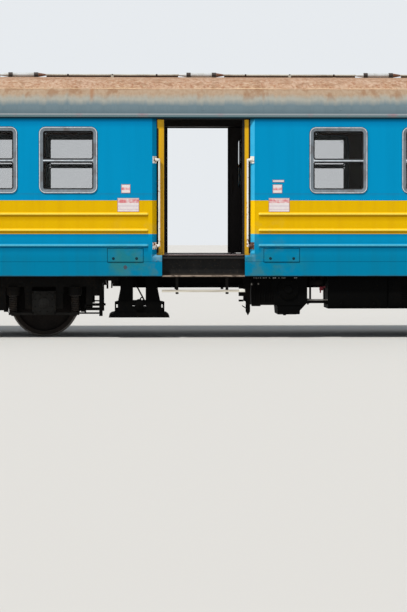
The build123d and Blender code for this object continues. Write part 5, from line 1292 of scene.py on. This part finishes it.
for x in (-1.1485, -1.0385, -0.790, -0.680):
    cradle += rods("y", [(x, -1.230, z, -0.010, 0.002, 0.012) for z in (0.600, 0.700, 0.800)], CRADLE)
cradle.append(turned("y", TANK, [(-0.010, 0.046), (-0.004, 0.062), (0.0, 0.064)], 28))
cradle.append(turned("y", TANK, [(-0.022, 0.012), (-0.008, 0.014)], 12))
cradle.append(moved(arc(0.022, 0.009, 360), BLOCK_X - 0.876, -1.222, 0.528 + RAIL))
joined("cradle_fittings", cradle, box_black)

# Equipment case and battery box: sheet doors with strap hinges, turn catches, louvres and drip rails.
# Both are closed with their own doors, black as the boxes.
CASE_X0 = -DOOR_X + 1.786
CASE_X1 = -DOOR_X + 5.214
CASE_LOW = 0.391 + RAIL
CASE_HIGH = 0.907 + RAIL
BATTERY_X = -DOOR_X + 5.474
CASE_DOOR = (CASE_X1 - CASE_X0) / 4


def louvres(x0, x1, foot, count):
    rows = [(x0, x1, -0.020, -0.006, 0.030 * i, 0.030 * i + 0.014, 0.004, 1) for i in range(count)]
    return slabs(rows, (0, BOX_Y, foot))


doors = []
for i in range(4):
    x0 = CASE_X0 + CASE_DOOR * i + 0.014
    x1 = x0 + CASE_DOOR - 0.028
    doors.append(slab(x0, x1, BOX_Y - 0.008, BOX_Y + 0.002, CASE_LOW + 0.030, CASE_HIGH - 0.060, 0.004))
    for x in (x0 + 0.15, x1 - 0.15):
        doors.append(rod("x", (x, BOX_Y - 0.010, CASE_HIGH - 0.058), -0.045, 0.045, 0.009, 10))
        doors += slabs([(-0.020, 0.020, -0.012, 0.0, -0.170, -0.060, 0.003, 1)], (x, BOX_Y, CASE_HIGH))
    for x in (x0 + 0.18, x1 - 0.18):
        at = (x, BOX_Y - 0.008, CASE_LOW + 0.070)
        doors.append(turned("y", at, [(-0.016, 0.014), (-0.010, 0.022), (0.0, 0.022)], 12))
        doors += slabs([(-0.006, 0.006, -0.028, -0.020, 0.040, 0.100, 0.002, 1)], (x, BOX_Y, CASE_LOW))
    if i % 2:
        doors += louvres(x0 + 0.18, x1 - 0.18, CASE_LOW + 0.150, 7)
drip_rail = (CASE_X0 - 0.01, CASE_X1 + 0.01, -0.020, 0.01, -0.030, -0.018, 0.003, 1)
doors += slabs([drip_rail], (0, BOX_Y, CASE_HIGH))
for i in range(2):
    x0 = BATTERY_X + 0.700 * i + 0.014
    doors += louvres(x0 + 0.15, x0 + 0.522, 0.520 + RAIL, 5)
    doors += slabs([
        (0.0, 0.672, -0.008, 0.002, 0.448, 0.850, 0.004),
        (0.276, 0.396, -0.026, -0.018, 0.760, 0.776, 0.003, 1),
        (0.280, 0.292, -0.022, -0.006, 0.760, 0.776, 0.002, 1),
        (0.380, 0.392, -0.022, -0.006, 0.760, 0.776, 0.002, 1),
    ], (x0, BOX_Y, RAIL))
    hinges = [(x, -0.010, 0.852, -0.040, 0.040, 0.009, 10) for x in (0.10, 0.572)]
    doors += rods("x", hinges, (x0, BOX_Y, RAIL))
joined("case_doors", doors, box_black)

# Pipes and reservoirs: flanged joints, a cut-off cock with a red handle, drain cocks and weld beads.
# A hose hangs under the machine block, and straps and prongs of many lengths hang from the sole bar.
SOLE_FOOT = 0.907 + RAIL
HOSE_X = BLOCK_X + 1.640
HOSE_Z = 0.760 + RAIL
HOSE_RADIUS = 0.045
DROPS = (  # place from the doorway's centre, half width and foot of each strap
    (-1.440, 0.014, 0.760), (-1.405, 0.022, 0.728), (-1.368, 0.014, 0.677), (-1.3065, 0.010, 0.685),
    (-1.270, 0.018, 0.714), (-1.225, 0.016, 0.745), (1.590, 0.022, 0.790), (1.704, 0.014, 0.770),
)
ON_PIPE = (BLOCK_X, PIPE_Y, RAIL)
pipe_bits = slabs([
    (-1.400, -1.190, -0.020, 0.020, 0.790, 0.907, 0.008),
    (1.520, 1.720, -0.030, 0.030, 0.725, 0.800, 0.010),
    (0.512, 0.582, 0.012, 0.048, 0.675, 0.745, 0.004, 1),
    (0.512, 0.582, 0.012, 0.048, 0.490, 0.506, 0.004, 1),
    *[(x - reach, x + reach, -0.010, 0.010, foot, 0.907, 0.003, 1) for x, reach, foot in DROPS],
], ON_PIPE)
pipe_bits += rods("y", [(x, 0.0, foot + 0.014, -0.026, 0.026, 0.010) for x, reach, foot in DROPS], ON_PIPE)
for x in (1.505, 1.770):
    pipe_bits += rods("x", [(x, 0.0, 0.490, -0.010, 0.010, 0.044, 20)], ON_PIPE)
    for i in range(4):
        turn = math.pi / 4 + math.pi / 2 * i
        bolt = (x, 0.034 * math.cos(turn), 0.490 + 0.034 * math.sin(turn), -0.018, 0.018, 0.007)
        pipe_bits += rods("x", [bolt], ON_PIPE)
for x in (-0.950, 0.700, 2.350):
    for end in (-0.620, 0.620):
        pipe_bits.append(rod("x", (x + end, 1.055, 0.640 + RAIL), -0.006, 0.006, 0.1925, 32))
    steps = [(-0.050, 0.010), (-0.030, 0.016), (0.004, 0.016)]
    pipe_bits.append(turned("z", (x + 0.3, 1.055, 0.450 + RAIL), steps, 10))
pipe_bits.append(moved(arc(HOSE_RADIUS, 0.010, 180), HOSE_X, PIPE_Y, HOSE_Z))
for x in (HOSE_X - HOSE_RADIUS, HOSE_X + HOSE_RADIUS):
    pipe_bits.append(rod("z", (x, PIPE_Y, 0), HOSE_Z - 0.001, SOLE_FOOT, 0.010, 10))
    pipe_bits.append(rod("z", (x, PIPE_Y, 0), SOLE_FOOT - 0.040, SOLE_FOOT, 0.016))
joined("pipe_fittings", pipe_bits, tar_and_shade)
handle_red = aged("cock_handle_red", (112, 22, 36), (70, 20, 26), 12.0, 0.4)
COCK = (CASE_X0 - 0.050, PIPE_Y, RAIL)
handle = slabs([
    (-0.072, -0.014, -0.066, -0.048, 0.650, 0.704, 0.008),
    (-0.066, -0.046, -0.062, -0.048, 0.615, 0.660, 0.005),
], COCK)
handle.append(turned("y", (COCK[0], PIPE_Y - 0.048, 0.6985 + RAIL), [(-0.020, 0.012), (0.0, 0.018)], 12))
joined("cock_handle", handle, handle_red)

# Bogies: cast and welded frames in black under brake dust. Coil springs stand between the axlebox
# wings and the frame's caps. Round covers with bolts close the axleboxes.
PIVOT_X = 7.480
WHEEL_X = 1.300
AXLES = (-WHEEL_X, WHEEL_X)
AXLE_Z = 0.470 + RAIL
JOURNAL_Y = 1.000
BOX_FACE = -JOURNAL_Y - 0.110
COIL_FOOT = 0.328 + RAIL
COIL_HEAD = 0.580 + RAIL
COIL_X = 0.445
COIL_TURNS = 9
WIRE = 0.009
box_iron = aged("axlebox_iron", (36, 35, 33), (25, 23, 21), 3.0, 0.65, relief=0.4, gloss=0.10)
gear = aged("running_gear_black", (17, 16, 15), (38, 33, 28), 2.6, 0.7, amount=-0.1, relief=0.5, gloss=0.07)
spring_steel = aged("spring_steel", (50, 47, 45), (62, 54, 47), 8.0, 0.55, metal=0.1, gloss=0.10)
cover_grey = aged("axlebox_cover", (44, 43, 41), (26, 24, 22), 5.0, 0.6, gloss=0.12)
for number in (1, 2):
    gear.on(NODES[f"bogie_frame_{number}"], NODES[f"brake_gear_{number}"])
    box_iron.on(NODES[f"axleboxes_{number}"])


def on_bogies(name, pieces, xs, finish, angle=35):
    """Near-side pieces drawn round X = 0, put at places along both sides of both bogies."""
    pattern = merged(on_both_sides(pieces, xs))
    made = []
    for number, pivot in ((1, -PIVOT_X), (2, PIVOT_X)):
        part = copies(pattern, [Vector((pivot, 0, 0))])
        made.append(joined(f"{name}_{number}", part, finish, f"bogie_{number}", angle))
    gone(pattern)
    return made


coils = []
posts = []
box_bits = []
frame_bits = []
rigging = []
for end in (-1, 1):
    rise = (COIL_HEAD - COIL_FOOT - 2 * WIRE) / COIL_TURNS
    coil = wound(0.051, WIRE, screw_offset=rise, iterations=COIL_TURNS)
    coils.append(moved(coil, end * COIL_X, -JOURNAL_Y, COIL_FOOT + WIRE))
    place = (end * COIL_X, -JOURNAL_Y, 0)
    coils.append(rod("z", place, COIL_FOOT, COIL_FOOT + 0.008, 0.070, 28))
    coils.append(rod("z", place, COIL_HEAD - 0.008, COIL_HEAD, 0.078, 28))
    posts.append(rod("z", place, COIL_FOOT, COIL_HEAD, 0.036, 20))
    box_bits += slabs([
        (0.169, 0.184, -1.050, -0.950, 0.328, 0.368, 0.004, 1),
        (0.175, 0.350, -1.078, -1.068, 0.326, 0.342, 0.003, 1),
        (0.148, 0.166, -1.092, -1.078, 0.305, 0.345, 0.004, 1),
        (0.148, 0.166, -1.092, -1.078, 0.595, 0.632, 0.004, 1),
    ], (0, 0, RAIL), end)
    box_bits.append(rod("z", place, 0.280 + RAIL, 0.296 + RAIL, 0.030))
    frame_bits += slabs([
        (0.269, 0.286, -1.055, -0.945, 0.600, 0.702, 0.004, 1),
        (0.300, 0.560, -1.064, -1.058, 0.712, 0.730, 0.002, 1),
        (0.205, 0.275, -1.066, -1.058, 0.745, 0.845, 0.003, 1),
    ], (0, 0, RAIL), end)
    for x in (0.196, 0.245):
        bolts = [(x, -1.060, z, -0.010, 0.002, 0.010) for z in (0.430, 0.520, 0.610)]
        frame_bits += rods("y", bolts, (0, 0, RAIL), end)
    bolts = [(0.24, -1.066, z, -0.010, 0.0, 0.012) for z in (0.760, 0.830)]
    frame_bits += rods("y", bolts, (0, 0, RAIL), end)
    frame_bits.append(rod("z", place, 0.640 + RAIL, 0.660 + RAIL, 0.101, 28))
    rigging += slabs([
        (1.800, 2.100, -1.060, -1.040, 0.311, 0.334, 0.004, 1),
        (1.905, 2.000, -1.056, -1.040, 0.405, 0.722, 0.006),
        (2.000, 2.102, -1.056, -1.040, 0.571, 0.722, 0.006),
        (1.905, 2.102, -1.056, -1.040, 0.425, 0.445, 0.004),
        (0.560, 0.756, -1.046, -1.030, 0.362, 0.722, 0.012),
        (1.880, 2.165, -1.060, -1.040, 0.362, 0.398, 0.005, 1),
        (1.880, 1.905, -1.060, -1.040, 0.330, 0.450, 0.004, 1),
        (1.840, 1.885, -1.050, -0.760, 0.340, 0.372, 0.005, 1),
        (1.880, 1.965, -0.800, -0.760, 0.400, 0.700, 0.014),
    ], (0, 0, RAIL), end)
    rigging += rods("y", [
        (1.930, -0.780, 0.560, -0.040, 0.040, 0.022, 12),
        (2.117, -1.074, 0.380, -0.008, 0.0, 0.012),
        (2.117, -1.074, 0.322, -0.008, 0.0, 0.012),
    ], (0, 0, RAIL), end)
for i in range(8):
    turn = 2 * math.pi * (i + 0.5) / 8
    at = (0.132 * math.cos(turn), BOX_FACE, AXLE_Z + 0.132 * math.sin(turn))
    box_bits.append(rod("y", at, -0.012, 0.0, 0.011))
box_covers = [
    turned("y", (0, BOX_FACE, AXLE_Z), [(-0.016, 0.060), (-0.010, 0.078), (0.0, 0.082)], 32),
    turned("y", (0, BOX_FACE, AXLE_Z), [(0.020, 0.164), (0.030, 0.166)], 40),
]
cylinder = [
    (-0.46, 0.030), (-0.40, 0.105), (-0.39, 0.118), (-0.37, 0.118),
    (-0.36, 0.105), (-0.27, 0.105), (-0.26, 0.040),
]
pipes = [
    turned("x", (0, -0.62, 0.760 + RAIL), cylinder, 28),
    rod("x", (0, -1.012, 0.875 + RAIL), -1.60, 1.60, 0.011, 10),
    slab(-0.30, 0.30, -1.066, -1.058, 0.720 + RAIL, 0.840 + RAIL, 0.004, 1),
]
for i in range(5):
    pipes += slabs([(-0.015, 0.015, -1.026, -0.998, 0.858, 0.892, 0.003, 1)], (-1.2 + 0.6 * i, 0, RAIL))
whole_coils = on_bogies("bogie_coils", coils, AXLES, spring_steel, 50)
for number, whole in enumerate(whole_coils, 1):
    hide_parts(f"bogie_springs_{number}")
# The posts inside the coils take the same near black, painted shade inside the springs.
on_bogies("spring_posts", posts, AXLES, box_black, 50)
on_bogies("axlebox_covers", box_covers, AXLES, cover_grey)
on_bogies("axlebox_fittings", box_bits, AXLES, gear)
on_bogies("bogie_fittings", frame_bits, AXLES, gear)
on_bogies("bogie_pipes", pipes, (0.0,), gear)
on_bogies("bogie_rigging", rigging, (0.0,), gear)

# Wheelsets: monobloc steel wheels with a bright tread and a rusty brown web, on forged axles.
# Each pair has its own finish, because the pattern is centred on its axle.
TREAD_RADIUS = 0.4685
axle_steel = aged("axle_steel", (40, 34, 30), (26, 23, 21), 6.0, 0.55, metal=0.4)
WHEEL_PLACES = [pivot + axle for pivot in (-PIVOT_X, PIVOT_X) for axle in AXLES]
for number, wheel_x in enumerate(WHEEL_PLACES, 1):
    steel = aged(
        f"wheel_{number}_steel", (32, 28, 26), (20, 18, 17), 5.0, 0.65, metal=0.2, amount=0.2, gloss=0.12,
    )
    out = ((steel.x - wheel_x) ** 2.0 + (steel.z - AXLE_Z) ** 2.0) ** 0.5
    steel.lay(out.ramp(0.405, 0.420) * 0.5, (46, 40, 36))
    steel.lay((abs(out - 0.135) < 0.006).either(abs(out - 0.407) < 0.004) * 0.6, (18, 16, 15))
    steel.lay(out > TREAD_RADIUS, (128, 124, 120))
    steel.shade(metallic=(out > TREAD_RADIUS) * 0.6 + 0.3)
    steel.on(NODES[f"wheels_{number}"])
    axle_steel.on(NODES[f"axle_{number}"])
